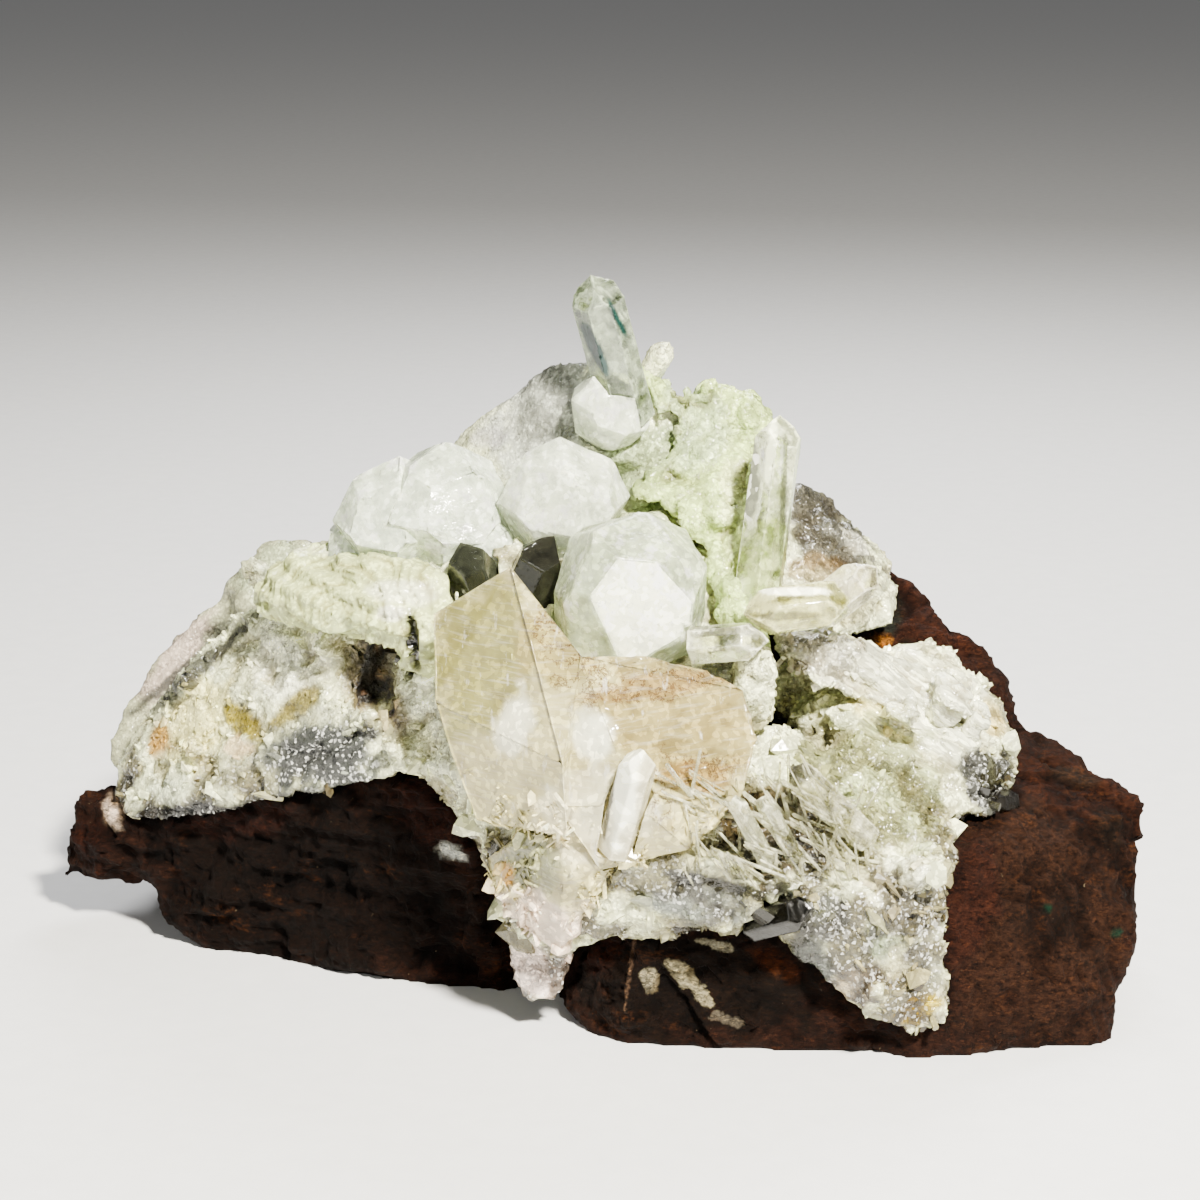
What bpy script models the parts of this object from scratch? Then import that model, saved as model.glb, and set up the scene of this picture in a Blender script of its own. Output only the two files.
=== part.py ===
"""Analcime and prehnite with quartz and calcite on basalt: one hand-sized mineral specimen.

The specimen stands on a flat break of its basalt. Its front faces -Y, +X is to its right and
+Z is up. The origin is the middle of its footprint, on the surface that it stands on.
Sizes are written in millimetres and turned into metres where a mesh is made.
"""

import math
import random

import bmesh
import bpy
from mathutils import Matrix, Quaternion, Vector, noise
from mathutils.bvhtree import BVHTree

MM = 0.001

# Driving dimensions, in millimetres.
GAP = 0.3                 # room left between touching pieces
ROCK_VOXEL = 1.5          # grain of the basalt's mesh before it is thinned
CRUST_VOXEL = 1.1         # grain of the crust's mesh before it is thinned
PREHNITE_VOXEL = 0.75
ROCK_FACES = 1800
CRUST_FACES = 1250
BACK_FACES = 300
PEAK_FACES = 680
MOUND_FACES = 380
QUARTZ_SLOPE = 51.8       # angle between quartz's end faces and its length, in degrees

# What the pieces are made of: linear colour, roughness.
FINISHES = {
    "basalt": ((0.085, 0.034, 0.024), 0.85),
    "pale_prehnite": ((0.66, 0.68, 0.60), 0.35),
    "green_prehnite": ((0.50, 0.62, 0.38), 0.30),
    "analcime": ((0.78, 0.79, 0.76), 0.20),
    "calcite": ((0.62, 0.50, 0.38), 0.30),
    "quartz": ((0.80, 0.80, 0.74), 0.05),
}

# The basalt: lumps of broken rock, each the hull of its corners.
ROCK_LUMPS = {
    "left_block": [
        (-49, 3, 11), (-40, -1, 17), (-35, -4, 20), (-27, -8, 21), (-22, -10.5, 22.5), (-16, -13, 22),
        (-12, -14, 17), (-47, 2.6, 4), (-45, 1.6, 0.8), (-31, -4, -3), (-16, -9.5, -3), (-9.6, -12, -3),
        (-11, -13, 10), (-48, 14, 20), (-46, 20, 6), (-38, 24, -3), (-10, 20, -3), (-38, 16, 32), (-12, 6, 36),
    ],
    "left_tip": [
        (-56.1, 9, 13.7), (-52.5, 9, 15.5), (-58.3, 10, 7.6), (-57.4, 9, 4), (-53.5, 4.6, 5.1), (-51, 3.6, 8.5),
        (-49, 5, 12.5), (-50, 15, 4), (-52, 16, 12), (-44, 10, 6), (-44, 10, 14),
    ],
    "front_foot": [
        (-2.9, -20, 2.7), (0, -23, -3), (3.8, -25, -3), (21.8, -27, -3), (31, -28, -3), (38, -27, -3),
        (0.5, -21.5, 11.5), (3, -23.5, 12.5), (12, -25, 11), (20, -26, 8), (30, -26, 14), (-6, -6, -3), (6, 12, -3),
        (30, 12, -3), (10, -14, 22), (28, -14, 20),
    ],
    "right_block": [
        (38, -26.5, -3), (47.6, -24, -3), (47.8, -24, 3.4), (51.3, -20, 4.3), (53.3, -16, 8.4), (54.3, -11, 12.7),
        (55.4, -6, 18.3), (51.8, -2, 19.3), (47.3, 2, 21.5), (44.4, 4, 23), (39.4, -18.5, 17), (33.2, -21, 18.5),
        (31.6, -25, 11.9), (52, 10, 12), (50, 16, -3), (30, 14, -3), (30, -24, -3),
    ],
    "right_shoulder": [
        (44, 4, 23), (40.4, 8, 29), (35.8, 10, 34.8), (30.6, 12, 38.2), (46, 16, 12), (40, 25, -3), (28, 29, 12),
        (24, 18, 34), (20, 0, 28), (26, -8, 20), (20, 20, -3), (42, 0, 20), (30, 27, -3), (47, 17, -3),
    ],
    "heart": [
        (-24, 8, 34), (-6, 8, 46), (10, 8, 44), (20, 11, 42), (-14, -10, 26), (10, -14, 24), (24, -10, 22),
        (-30, 27, -3), (24, 31, -3), (-24, 29, 17), (14, 31, 16), (-4, 24, 38), (-8, -10, -3), (0, 16, 48),
    ],
    "back_step": [
        (-22, 31, -3), (-25, 28, 12), (-12, 33, 9), (4, 34.5, 7), (12, 33, -3), (6, 31, 13), (-8, 30, 20), (-6, 20, 10),
    ],
    "back_ledge": [
        (2, 31, 17), (16, 31.5, 14), (24, 27, 22), (20, 22, 33), (6, 25, 31), (0, 24, 22), (12, 18, 20),
    ],
    "left_back_step": [
        (-44, 22, -3), (-47, 19, 8), (-42, 22, 16), (-33, 27, 14), (-30, 28.5, -3), (-34, 20, 22), (-30, 16, 10),
    ],
}

# The pale crust that lines the rock: lumps in the same way.
CRUST_LUMPS = {
    "left_slope": [
        (-52.2, 8, 14), (-48.7, 1.4, 12.4), (-40.2, -2.8, 18.4), (-35, -5.8, 21.4), (-27.7, -9.8, 22.7),
        (-22.6, -12, 23.9), (-17.5, -14.8, 24), (-14, -8, 41), (-20, -4.5, 43), (-26, 1, 41.5), (-32.8, 5, 39.4),
        (-38, 8, 33.6), (-45.4, 10, 26.6), (-51, 10, 19), (-44, 6, 14), (-20, 4, 28),
    ],
    "left_foot": [
        (-18, -14, 24.5), (-14.5, -16, 21.6), (-11.4, -18, 17.5), (-9.7, -19, 14.3), (-12, -19, 27), (-10, -16, 34),
        (-16, -13, 31), (-10, -8, 14), (-6, -20, 20),
    ],
    "middle_wall": [
        (-22, 4, 47), (-14, -9, 43), (-9, -11, 41), (-5, -8, 44), (5, -6, 48), (12, -8, 42), (15, -13, 37),
        (8, -19, 33), (-6, -20, 34), (-14, -15, 29), (-14, 10, 46), (12, 8, 46),
    ],
    "crest": [
        (-16, 11, 50), (-14.5, 12, 52.2), (-9, 9, 52.9), (-6.8, 7, 56.4), (-3.6, 5, 62), (1.5, 1, 60.5),
        (6, 4, 60), (8.4, 5, 56.6), (0, -3, 53), (-12, 15, 44), (8, 15, 44), (-20, 9, 46), (12, 2, 48),
    ],
    "right_top": [
        (17, 3, 48.5), (20.6, 9, 48.2), (24, 11.5, 44), (26.4, 12, 41.7), (30.4, 11.5, 39), (29, 3, 38.5),
        (17, -9, 36), (21, -4, 34), (31, 3, 34), (20, 16, 36), (13, -6, 42),
    ],
    "right_flank": [
        (19, -7, 33.5), (30, -3, 35), (35, -2, 33.5), (40.4, -0.6, 28), (42.6, -4, 22.6), (40, -14.6, 18.2),
        (35, -15.4, 21.4), (26, -11.5, 28.6), (22, -2, 26), (36, -2, 18), (30, -14, 16),
    ],
    "right_band": [
        (17, -13.6, 38.6), (24, -11.6, 36.4), (30, -9.4, 31.6), (33, -8, 29), (30, -12.6, 28.4), (24, -14.4, 32.2),
        (17.4, -17, 34.6), (16, -8, 38), (28, -4, 34), (33, -4, 30),
    ],
    "lower_right": [
        (14, -16.5, 30), (24.5, -13, 29), (35, -16, 21), (34, -23, 17.5), (32, -26.4, 11.5), (25.1, -29, 15.4),
        (18.8, -26, 22), (22, -28, 7), (10, -24, 22), (26, -12, 14), (12, -28, 16),
    ],
    "right_foot": [
        (21.5, -28.2, 6.5), (25, -29.2, 5), (30, -29, 2.2), (34, -28.2, 3.6), (33.6, -27, 7), (32.4, -26.6, 11.8),
        (26, -28.8, 13), (22.6, -28, 10), (26, -22, 6), (31, -22, 12),
    ],
    "lower_middle": [
        (-11, -19.6, 17), (-10.4, -20.6, 14), (-8, -21, 8), (-2, -23, 13), (2, -26, 14.5), (9, -29, 14.5),
        (17, -29.5, 14), (17, -29, 20), (8, -30, 22), (-3, -28, 22), (-8, -14, 10), (10, -16, 18),
    ],
    "middle_foot": [
        (-9, -20.6, 13), (-8.6, -20.2, 6.4), (-8.8, -18.5, 2.6), (-5.8, -21.4, 3), (-3, -21.4, 3.4), (-2, -22.6, 9),
        (-1, -23.6, 14), (-8, -12, 8),
    ],
}

# The separate patch of crust on the left shoulder, behind the slope.
BACK_LUMPS = {
    "back_crest": [
        (-26, 12, 41.0), (-31.8, 14.5, 40.8), (-35.7, 16.5, 39.6), (-39.8, 17, 36.4), (-40.4, 16, 32),
        (-26, 22, 34), (-36, 23, 28), (-30, 8, 32), (-37, 10, 30),
    ],
    "back_crest_low": [
        (-38, 17, 33.8), (-42.2, 16.5, 32.6), (-44.6, 16, 30.2), (-47.4, 15.5, 27.4), (-51.2, 14, 21.8),
        (-53.6, 12, 16.6), (-46, 21, 20), (-40, 22, 26), (-44, 9, 18), (-50, 9, 14),
    ],
}

# Hollows in the crust: middle, radii, lean towards +X in degrees.
CRUST_HOLLOWS = (
    ((-21.6, -9.0, 32.0), (2.0, 4.4, 5.0), 18),
    ((-18.0, -12.6, 34.6), (0.5, 3.0, 4.2), -4),
    ((21.6, -12.0, 27.6), (5.2, 4.6, 1.7), 20),
)

# Places where small crystals stand out of the crust: middle, spread, how many, size range.
CRUST_CRYSTALS = (
    ((-34, -2, 30), 12, 5, (3.0, 4.6)),
    ((-18, -14, 26), 6, 2, (2.6, 3.6)),
    ((30, -16, 24), 13, 9, (3.0, 5.2)),
    ((10, -28, 18), 9, 6, (3.0, 4.4)),
    ((27, -28, 9), 6, 3, (3.0, 4.4)),
    ((2, 8, 54), 12, 3, (3.4, 5.5)),
)

# Rounded heads of the green prehnite: middle, radii.
PEAK_HEADS = (
    ((11.2, 3.4, 54.0), (2.6, 3.0, 5.2)),
    ((14.6, 4.4, 53.6), (3.0, 3.4, 4.6)),
    ((8.2, 3.6, 53.4), (3.4, 3.6, 4.2)),
    ((5.0, 2.4, 57.4), (2.6, 2.8, 3.6)),
    ((12.0, 0.6, 50.2), (4.4, 4.0, 4.4)),
    ((7.2, -0.6, 48.6), (3.4, 3.6, 4.0)),
    ((4.6, -1.8, 47.6), (2.2, 2.6, 3.2)),
    ((10.6, -3.6, 46.6), (4.8, 3.8, 4.4)),
    ((14.6, -3.0, 47.6), (2.8, 3.6, 5.4)),
    ((8.0, -4.6, 43.8), (3.6, 3.4, 3.4)),
    ((13.0, -8.0, 41.2), (3.4, 4.4, 4.2)),
    ((15.4, -6.0, 44.2), (2.6, 4.2, 5.2)),
    ((14.4, -14.6, 36.2), (1.9, 3.4, 5.0)),
    ((13.2, -11.6, 39.2), (2.4, 4.4, 4.2)),
)

# Leaves of the pale prehnite mound, lowest first: middle, radii, lean towards +X in degrees.
MOUND_LEAVES = (
    ((-29.6, 0.6, 39.0), (5.6, 6.0, 3.4), -24),
    ((-26.4, -2.0, 39.4), (6.2, 6.2, 3.2), -16),
    ((-23.0, -4.6, 38.6), (6.8, 6.2, 3.4), -8),
    ((-19.4, -6.4, 38.4), (6.4, 6.4, 3.4), 2),
    ((-17.0, -6.6, 41.0), (5.2, 5.4, 2.6), 6),
    ((-21.2, -4.2, 41.6), (5.6, 5.4, 2.6), -4),
    ((-16.2, -9.6, 36.8), (4.0, 5.2, 4.4), 12),
)

# Analcime: each piece is one crystal or a few grown together. For each crystal: middle, distance
# from the middle to a face, the way that one of its faces looks, its roll about that in degrees, seed.
ANALCIMES = {
    "analcime_front": (((3.0, -14.8, 41.8), 7.1, (0.08, -1.0, 0.02), 96, 3),),
    "analcime_middle": (((-3.7, -3.4, 48.4), 5.5, (-0.30, -1.0, 0.30), 20, 5),),
    "analcime_left": (
        ((-15.4, -1.2, 46.9), 6.0, (0.25, -1.0, 0.35), 50, 8),
        ((-20.0, -0.4, 45.8), 5.6, (-0.45, -1.0, 0.30), 10, 9),
        ((-23.6, 1.0, 42.6), 3.5, (-0.30, -1.0, 0.60), 35, 12),
        ((-10.6, -4.4, 43.4), 3.0, (0.30, -1.0, 0.30), 70, 10),
    ),
    "analcime_top": (((1.2, -0.8, 57.2), 3.7, (0.10, -1.0, 0.25), 30, 2),),
}

# Quartz prisms: foot, tip, width across, seed, and whether the foot is pointed too.
QUARTZES = {
    "quartz_tip": ((2.9, -0.4, 56.0), (-0.9, -3.0, 70.8), 4.7, 11, False),
    "quartz_right": ((14.6, -13.2, 39.0), (17.3, -7.6, 58.0), 4.5, 4, False),
    "quartz_level": ((13.4, -20.6, 41.6), (23.6, -18.6, 42.4), 4.7, 21, True),
    "quartz_level_back": ((21.0, -15.0, 40.6), (26.4, -14.2, 44.6), 3.7, 6, False),
    "quartz_short": ((8.6, -19.4, 38.2), (15.8, -21.6, 39.4), 3.4, 9, False),
    "quartz_bright": ((1.4, -29.4, 21.6), (3.9, -33.4, 32.6), 3.3, 14, False),
    "quartz_back_left": ((-10.4, -9.4, 37.0), (-13.6, -8.2, 45.6), 4.6, 17, False),
    "quartz_back_right": ((-8.4, -11.0, 38.0), (-4.4, -10.8, 46.8), 5.2, 12, False),
    "quartz_long": ((25.0, -24.6, 20.8), (17.6, -26.8, 28.8), 2.8, 19, False),
    "quartz_needle_left": ((15.6, -27.6, 19.4), (12.0, -32.2, 27.6), 1.8, 23, False),
    "quartz_needle_right": ((18.2, -26.6, 19.8), (14.6, -31.4, 27.4), 1.6, 25, False),
    "quartz_smoky": ((14.2, -27.0, 13.4), (19.6, -31.2, 16.6), 3.2, 27, False),
}

# The calcite: hulls of cleaved corners.
CALCITE_BLOCKS = {
    "peak": [
        (-8.3, -21.5, 46.5), (-15.7, -18, 41), (-15.4, -22, 33.5), (-13.8, -23.4, 28.5), (-11.6, -24, 22.5),
        (-3.4, -31.4, 30.5), (-1.6, -26.4, 39.2), (-3, -30, 23), (-8, -14, 40), (-14, -13, 34), (-2, -16, 34), (-6, -18, 20),
    ],
    "shoulder": [
        (-1.8, -26.8, 39.4), (4.5, -23.4, 38.4), (10, -21.4, 36.4), (13.4, -21.6, 34.6), (14.6, -23.6, 30.4),
        (13.2, -26.6, 26), (8.3, -30, 21.8), (3.4, -32.4, 27), (0, -30, 19.8), (-4, -30, 26), (-2, -18, 34),
        (10, -16, 30), (6, -18, 20),
    ],
}
CALCITE_CHIP = [
    (-10.8, -20.6, 17.6), (-10.4, -21.4, 15), (-8.6, -23.4, 12.6), (-3.8, -25.6, 9.6), (0.2, -27.8, 17.2),
    (1.6, -29.6, 21), (1, -29, 25.2), (-3.6, -27.6, 25.4), (-6.8, -25.6, 21.6), (-3.4, -29.6, 18.4), (-6, -18, 16), (-1, -20, 20),
]


def empty_the_scene():
    for thing in list(bpy.data.objects):
        bpy.data.objects.remove(thing, do_unlink=True)


def finish_of(slot):
    """The plain material of one kind of mineral, made once."""
    made = bpy.data.materials.get(slot)
    if made:
        return made
    colour, roughness = FINISHES[slot]
    made = bpy.data.materials.new(slot)
    made.use_nodes = True
    shader = made.node_tree.nodes["Principled BSDF"]
    shader.inputs["Base Color"].default_value = (*colour, 1.0)
    shader.inputs["Roughness"].default_value = roughness
    shader.inputs["Metallic"].default_value = 0.0
    return made


def add_object(name, shape, slot, helper=False):
    """Puts a bmesh in the scene as one object, and frees it. A helper isn't part of the specimen."""
    mesh = bpy.data.meshes.new(name)
    shape.to_mesh(mesh)
    shape.free()
    mesh.materials.append(finish_of(slot))
    thing = bpy.data.objects.new(name, mesh)
    bpy.context.scene.collection.objects.link(thing)
    if helper:
        thing.hide_render = True
        thing.display_type = "WIRE"
    return thing


def apply_modifiers(thing):
    """Replaces the object's mesh with what its modifiers make of it."""
    bpy.context.view_layer.update()
    graph = bpy.context.evaluated_depsgraph_get()
    made = bpy.data.meshes.new_from_object(thing.evaluated_get(graph))
    thing.modifiers.clear()
    old, thing.data = thing.data, made
    bpy.data.meshes.remove(old)


def hull(corners, grow=0.0):
    """The convex hull of the corners, moved out from their middle by grow."""
    shape = bmesh.new()
    middle = sum((Vector(c) for c in corners), Vector()) / len(corners)
    for corner in corners:
        away = Vector(corner) - middle
        shape.verts.new((Vector(corner) + away.normalized() * grow) * MM)
    found = bmesh.ops.convex_hull(shape, input=shape.verts)
    bmesh.ops.delete(shape, geom=list(set(found["geom_interior"] + found["geom_unused"])), context="VERTS")
    bmesh.ops.recalc_face_normals(shape, faces=shape.faces)
    return shape


def joined(shapes):
    """Several bmeshes as one, still overlapping."""
    whole = bmesh.new()
    for shape in shapes:
        part = bpy.data.meshes.new("part")
        shape.to_mesh(part)
        shape.free()
        whole.from_mesh(part)
        bpy.data.meshes.remove(part)
    return whole


def ball(middle, radii, lean=0.0):
    shape = bmesh.new()
    bmesh.ops.create_icosphere(shape, subdivisions=3, radius=1.0)
    place = Matrix.Translation(Vector(middle) * MM) @ Matrix.Rotation(math.radians(lean), 4, "Y")
    shape.transform(place @ Matrix.Diagonal((*[r * MM for r in radii], 1.0)))
    return shape


def melt(thing, voxel):
    """Joins what overlaps in the object into one outer skin, with no hollow left inside."""
    skin = thing.modifiers.new("skin", "REMESH")
    skin.mode = "VOXEL"
    skin.voxel_size = voxel * MM
    apply_modifiers(thing)
    keep_largest(thing)


def thin(thing, faces):
    """Fewer triangles, where the surface can spare them."""
    have = sum(len(p.vertices) - 2 for p in thing.data.polygons)
    fewer = thing.modifiers.new("fewer", "DECIMATE")
    fewer.ratio = min(1.0, faces / have)
    apply_modifiers(thing)


def is_inside(cover, point, depth):
    """Whether the point lies at least this far, in mm, below the surface of the cover."""
    found, nearest, normal, _ = cover.closest_point_on_mesh(point)
    away = Vector(point) - nearest
    return found and away.dot(normal) < 0 and away.length > depth * MM


def keep_largest(thing):
    """Deletes all but the part with the most points, such as crumbs that a cut has left loose."""
    shape = bmesh.new()
    shape.from_mesh(thing.data)
    shape.verts.ensure_lookup_table()
    left, islands = set(shape.verts), []
    while left:
        front = [left.pop()]
        island = set(front)
        while front:
            near = {e.other_vert(v) for v in front for e in v.link_edges} - island
            island |= near
            front = list(near)
        left -= island
        islands.append(island)
    islands.sort(key=len)
    if len(islands) > 1:
        print(f"{thing.name} had {len(islands) - 1} loose crumbs")
    bmesh.ops.delete(shape, geom=[v for island in islands[:-1] for v in island], context="VERTS")
    shape.to_mesh(thing.data)
    shape.free()


def boolean(thing, other, operation, lumps=False):
    """Cuts or joins the object with another one. Lumps says that the other's own parts overlap."""
    change = thing.modifiers.new(operation.lower(), "BOOLEAN")
    change.operation = operation
    change.solver = "EXACT"
    change.use_self = lumps
    change.object = other
    apply_modifiers(thing)


def displace(thing, height_at):
    """Moves each point along its normal by height_at(point in mm), in mm."""
    mesh = thing.data
    normals = [v.normal.copy() for v in mesh.vertices]
    for vertex, normal in zip(mesh.vertices, normals):
        vertex.co += normal * height_at(vertex.co / MM) * MM
    mesh.update()


def chipped(point, size, tilt):
    """Height of a broken surface: each cell of rock is a flat chip with its own tilt."""
    nearest = noise.voronoi(point / size)[1][0]
    slope = noise.cell_vector(nearest * 7.3) - Vector((0.5, 0.5, 0.5))
    return slope.dot(point - nearest * size) * tilt + slope.x * tilt * size * 0.3


def grain(point, size, seed=0.0):
    return noise.fractal(point / size + Vector((seed, seed, seed)), 0.9, 2.1, 3)


def flat_bottom(thing, height=0.0):
    """Cuts the object off level at this height, which is the break that it stands on."""
    shape = bmesh.new()
    shape.from_mesh(thing.data)
    everything = shape.verts[:] + shape.edges[:] + shape.faces[:]
    cut = bmesh.ops.bisect_plane(
        shape, geom=everything, plane_co=(0, 0, height * MM), plane_no=(0, 0, -1), clear_outer=True
    )
    rim = [e for e in cut["geom_cut"] if isinstance(e, bmesh.types.BMEdge)]
    bmesh.ops.holes_fill(shape, edges=rim)
    shape.to_mesh(thing.data)
    shape.free()


def crystal(faces, grow=0.0):
    """The convex crystal behind every (normal, distance) face, each moved out by grow."""
    shape = bmesh.new()
    bmesh.ops.create_cube(shape, size=60 * MM)
    for normal, distance in faces:
        everything = shape.verts[:] + shape.edges[:] + shape.faces[:]
        cut = bmesh.ops.bisect_plane(
            shape,
            geom=everything,
            plane_co=normal * (distance + grow) * MM,
            plane_no=normal,
            clear_outer=True,
        )
        rim = [e for e in cut["geom_cut"] if isinstance(e, bmesh.types.BMEdge)]
        if rim:
            bmesh.ops.contextual_create(shape, geom=rim)
    bmesh.ops.remove_doubles(shape, verts=shape.verts, dist=0.002 * MM)
    bmesh.ops.recalc_face_normals(shape, faces=shape.faces)
    return shape


def analcime_faces(size, seed):
    """The 24 kite faces of a trapezohedron, none of them at quite the same distance. The first is the
    nearest to the middle, which makes it the largest."""
    chance = random.Random(seed)
    faces = []
    for long_axis in range(3):
        for signs in range(8):
            normal = Vector([1.0, 1.0, 1.0])
            normal[long_axis] = 2.0
            for axis in range(3):
                if signs >> axis & 1:
                    normal[axis] = -normal[axis]
            near = 0.90 if not faces else chance.uniform(0.95, 1.06)
            faces.append((normal.normalized(), size * near))
    return faces


def quartz_faces(width, length, seed, ends=6, two_ended=False):
    """Six prism faces and the faces of each pointed end. The foot is at the origin, the tip on +Z."""
    chance = random.Random(seed)
    slope = math.radians(QUARTZ_SLOPE)
    turn = chance.uniform(0, 60)
    faces = []
    for side in range(6):
        angle = math.radians(60 * side + turn)
        out = Vector((math.cos(angle), math.sin(angle), 0))
        faces.append((out, width / 2 * chance.uniform(0.86, 1.08)))
        large = side % 2 == 0
        if ends == 3 and not large:
            continue
        reach = 0.0 if large else chance.uniform(0.10, 0.30) * width
        end = (out * math.sin(slope) + Vector((0, 0, math.cos(slope)))).normalized()
        faces.append((end, length * math.cos(slope) + reach * chance.uniform(0.5, 1.2)))
        if two_ended:
            foot = Vector((end.x, end.y, -end.z))
            faces.append((foot, (0.2 if large else 0.8) * chance.uniform(0.3, 1.0)))
    if not two_ended:
        faces.append((Vector((0, 0, -1)), 0.0))
    return faces


def stand(thing, foot, tip):
    """Puts a crystal that was made along +Z with its foot and its tip at these points."""
    along = Vector(tip) - Vector(foot)
    thing.location = Vector(foot) * MM
    thing.rotation_mode = "QUATERNION"
    thing.rotation_quaternion = along.to_track_quat("Z", "Y")


def look_at(direction, roll):
    """The turn that brings a crystal's first face to look along the direction."""
    first = Vector((2, 1, 1)).normalized()
    facing = first.rotation_difference(Vector(direction).normalized())
    return Quaternion(Vector(direction).normalized(), math.radians(roll)) @ facing


def helper_copy(thing, name):
    twin = thing.copy()
    twin.data = thing.data.copy()
    twin.name = name
    bpy.context.scene.collection.objects.link(twin)
    twin.hide_render = True
    twin.display_type = "WIRE"
    return twin


def fattened(thing, extra, voxel=0.0):
    """A copy with its skin moved out, which leaves the gap when it is taken out of a neighbour. A voxel
    size closes the slots between small crystals, where a skin moved out would cross itself."""
    twin = helper_copy(thing, f"{thing.name}_seat")
    faces = len(thing.data.polygons)
    displace(twin, lambda p: GAP * extra)
    if voxel:
        melt(twin, voxel)
        thin(twin, faces * 2.2)
    return twin


def make_rock():
    """The basalt: broken lumps melted together, chipped all over and level where it stands."""
    rock = add_object("basalt_matrix", joined(hull(c) for c in ROCK_LUMPS.values()), "basalt")
    melt(rock, ROCK_VOXEL)
    displace(rock, lambda p: chipped(p, 9.0, 0.22) + 0.55 * grain(p, 5.0, 3.0))
    thin(rock, ROCK_FACES)
    flat_bottom(rock)
    return rock


def near_places(thing, middle, spread, count, chance):
    """Points of the object's surface near a middle, with their normals."""
    middle = Vector(middle)
    near = [v for v in thing.data.vertices if (v.co / MM - middle).length < spread and v.normal.z > -0.1]
    return [(v.co / MM, v.normal.copy()) for v in chance.sample(near, min(count, len(near)))]


def crust_crystals(crust):
    """Small stubby crystals that stand out of the crust, at every angle."""
    chance = random.Random(40)
    grown = []
    for middle, spread, count, sizes in CRUST_CRYSTALS:
        for place, normal in near_places(crust, middle, spread, count, chance):
            size = chance.uniform(*sizes)
            lean = Vector([chance.uniform(-0.7, 0.7) for _ in range(3)])
            along = (normal + lean).normalized()
            shape = crystal(quartz_faces(size * 0.62, size * 1.5, chance.randrange(1000), ends=3))
            turn = along.to_track_quat("Z", "Y").to_matrix().to_4x4()
            shape.transform(Matrix.Translation((place - along * size * 0.55) * MM) @ turn)
            grown.append(shape)
    return grown


def make_crust():
    """The pale crust, with its hollows and the small crystals that grew out of it."""
    crust = add_object("prehnite_crust", joined(hull(c) for c in CRUST_LUMPS.values()), "pale_prehnite")
    melt(crust, CRUST_VOXEL)
    hollows = add_object("crust_hollows", joined(ball(*h) for h in CRUST_HOLLOWS), "pale_prehnite", True)
    boolean(crust, hollows, "DIFFERENCE", lumps=True)
    bpy.data.objects.remove(hollows)
    displace(crust, lambda p: chipped(p, 3.6, 0.34) + 0.45 * grain(p, 2.4, 8.0))
    thin(crust, CRUST_FACES)
    small = add_object("crust_crystals", joined(crust_crystals(crust)), "pale_prehnite", True)
    boolean(crust, small, "UNION", lumps=True)
    bpy.data.objects.remove(small)
    return crust


def make_back():
    back = add_object("prehnite_back", joined(hull(c) for c in BACK_LUMPS.values()), "pale_prehnite")
    melt(back, CRUST_VOXEL)
    displace(back, lambda p: chipped(p, 4.2, 0.30) + 0.40 * grain(p, 2.8, 4.0))
    thin(back, BACK_FACES)
    return back


def make_peak():
    """The green prehnite: rounded heads of blades grown into one mass."""
    peak = add_object("prehnite_peak", joined(ball(*head) for head in PEAK_HEADS), "green_prehnite")
    melt(peak, PREHNITE_VOXEL)
    displace(peak, lambda p: chipped(p, 2.2, 0.42) + 0.35 * grain(p, 1.8, 5.0))
    thin(peak, PEAK_FACES)
    return peak


def make_mound():
    """The pale prehnite mound: lens-shaped leaves that lean on each other."""
    mound = add_object("prehnite_mound", joined(ball(*leaf) for leaf in MOUND_LEAVES), "pale_prehnite")
    melt(mound, PREHNITE_VOXEL)
    displace(mound, lambda p: 0.35 * math.sin(p.z * 3.4 + p.x * 0.7) + 0.4 * grain(p, 3.0, 1.0))
    thin(mound, MOUND_FACES)
    return mound


def union_of(name, shapes, slot, helper=False):
    """Overlapping closed shapes as one object with one skin."""
    whole = add_object(name, shapes[0], slot, helper)
    for shape in shapes[1:]:
        other = add_object("joining", shape, slot, True)
        boolean(whole, other, "UNION")
        bpy.data.objects.remove(other)
    return whole


def make_calcite():
    """Two cleaved calcite blocks grown into one, and the chip that lies below them."""
    blocks = list(CALCITE_BLOCKS.values())
    return [
        (
            union_of("calcite_block", [hull(b) for b in blocks], "calcite"),
            union_of("calcite_block_seat", [hull(b, GAP * 1.7) for b in blocks], "calcite", True),
        ),
        (
            add_object("calcite_chip", hull(CALCITE_CHIP), "calcite"),
            add_object("calcite_chip_seat", hull(CALCITE_CHIP, GAP * 1.7), "calcite", True),
        ),
    ]


def make_analcimes():
    """Each analcime, with a fatter twin that cuts its seat in what it grew on."""
    made = []
    for name, crystals in ANALCIMES.items():
        root = Vector(crystals[0][0])
        whole, seat = [], []
        for middle, size, facing, roll, seed in crystals:
            turn = look_at(facing, roll).to_matrix().to_4x4()
            place = Matrix.Translation((Vector(middle) - root) * MM) @ turn
            faces = analcime_faces(size, seed)
            for shapes, grow in ((whole, 0.0), (seat, GAP)):
                shape = crystal(faces, grow)
                shape.transform(place)
                shapes.append(shape)
        pair = union_of(name, whole, "analcime"), union_of(f"{name}_seat", seat, "analcime", True)
        for thing in pair:
            thing.location = root * MM
        made.append(pair)
    return made


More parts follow.
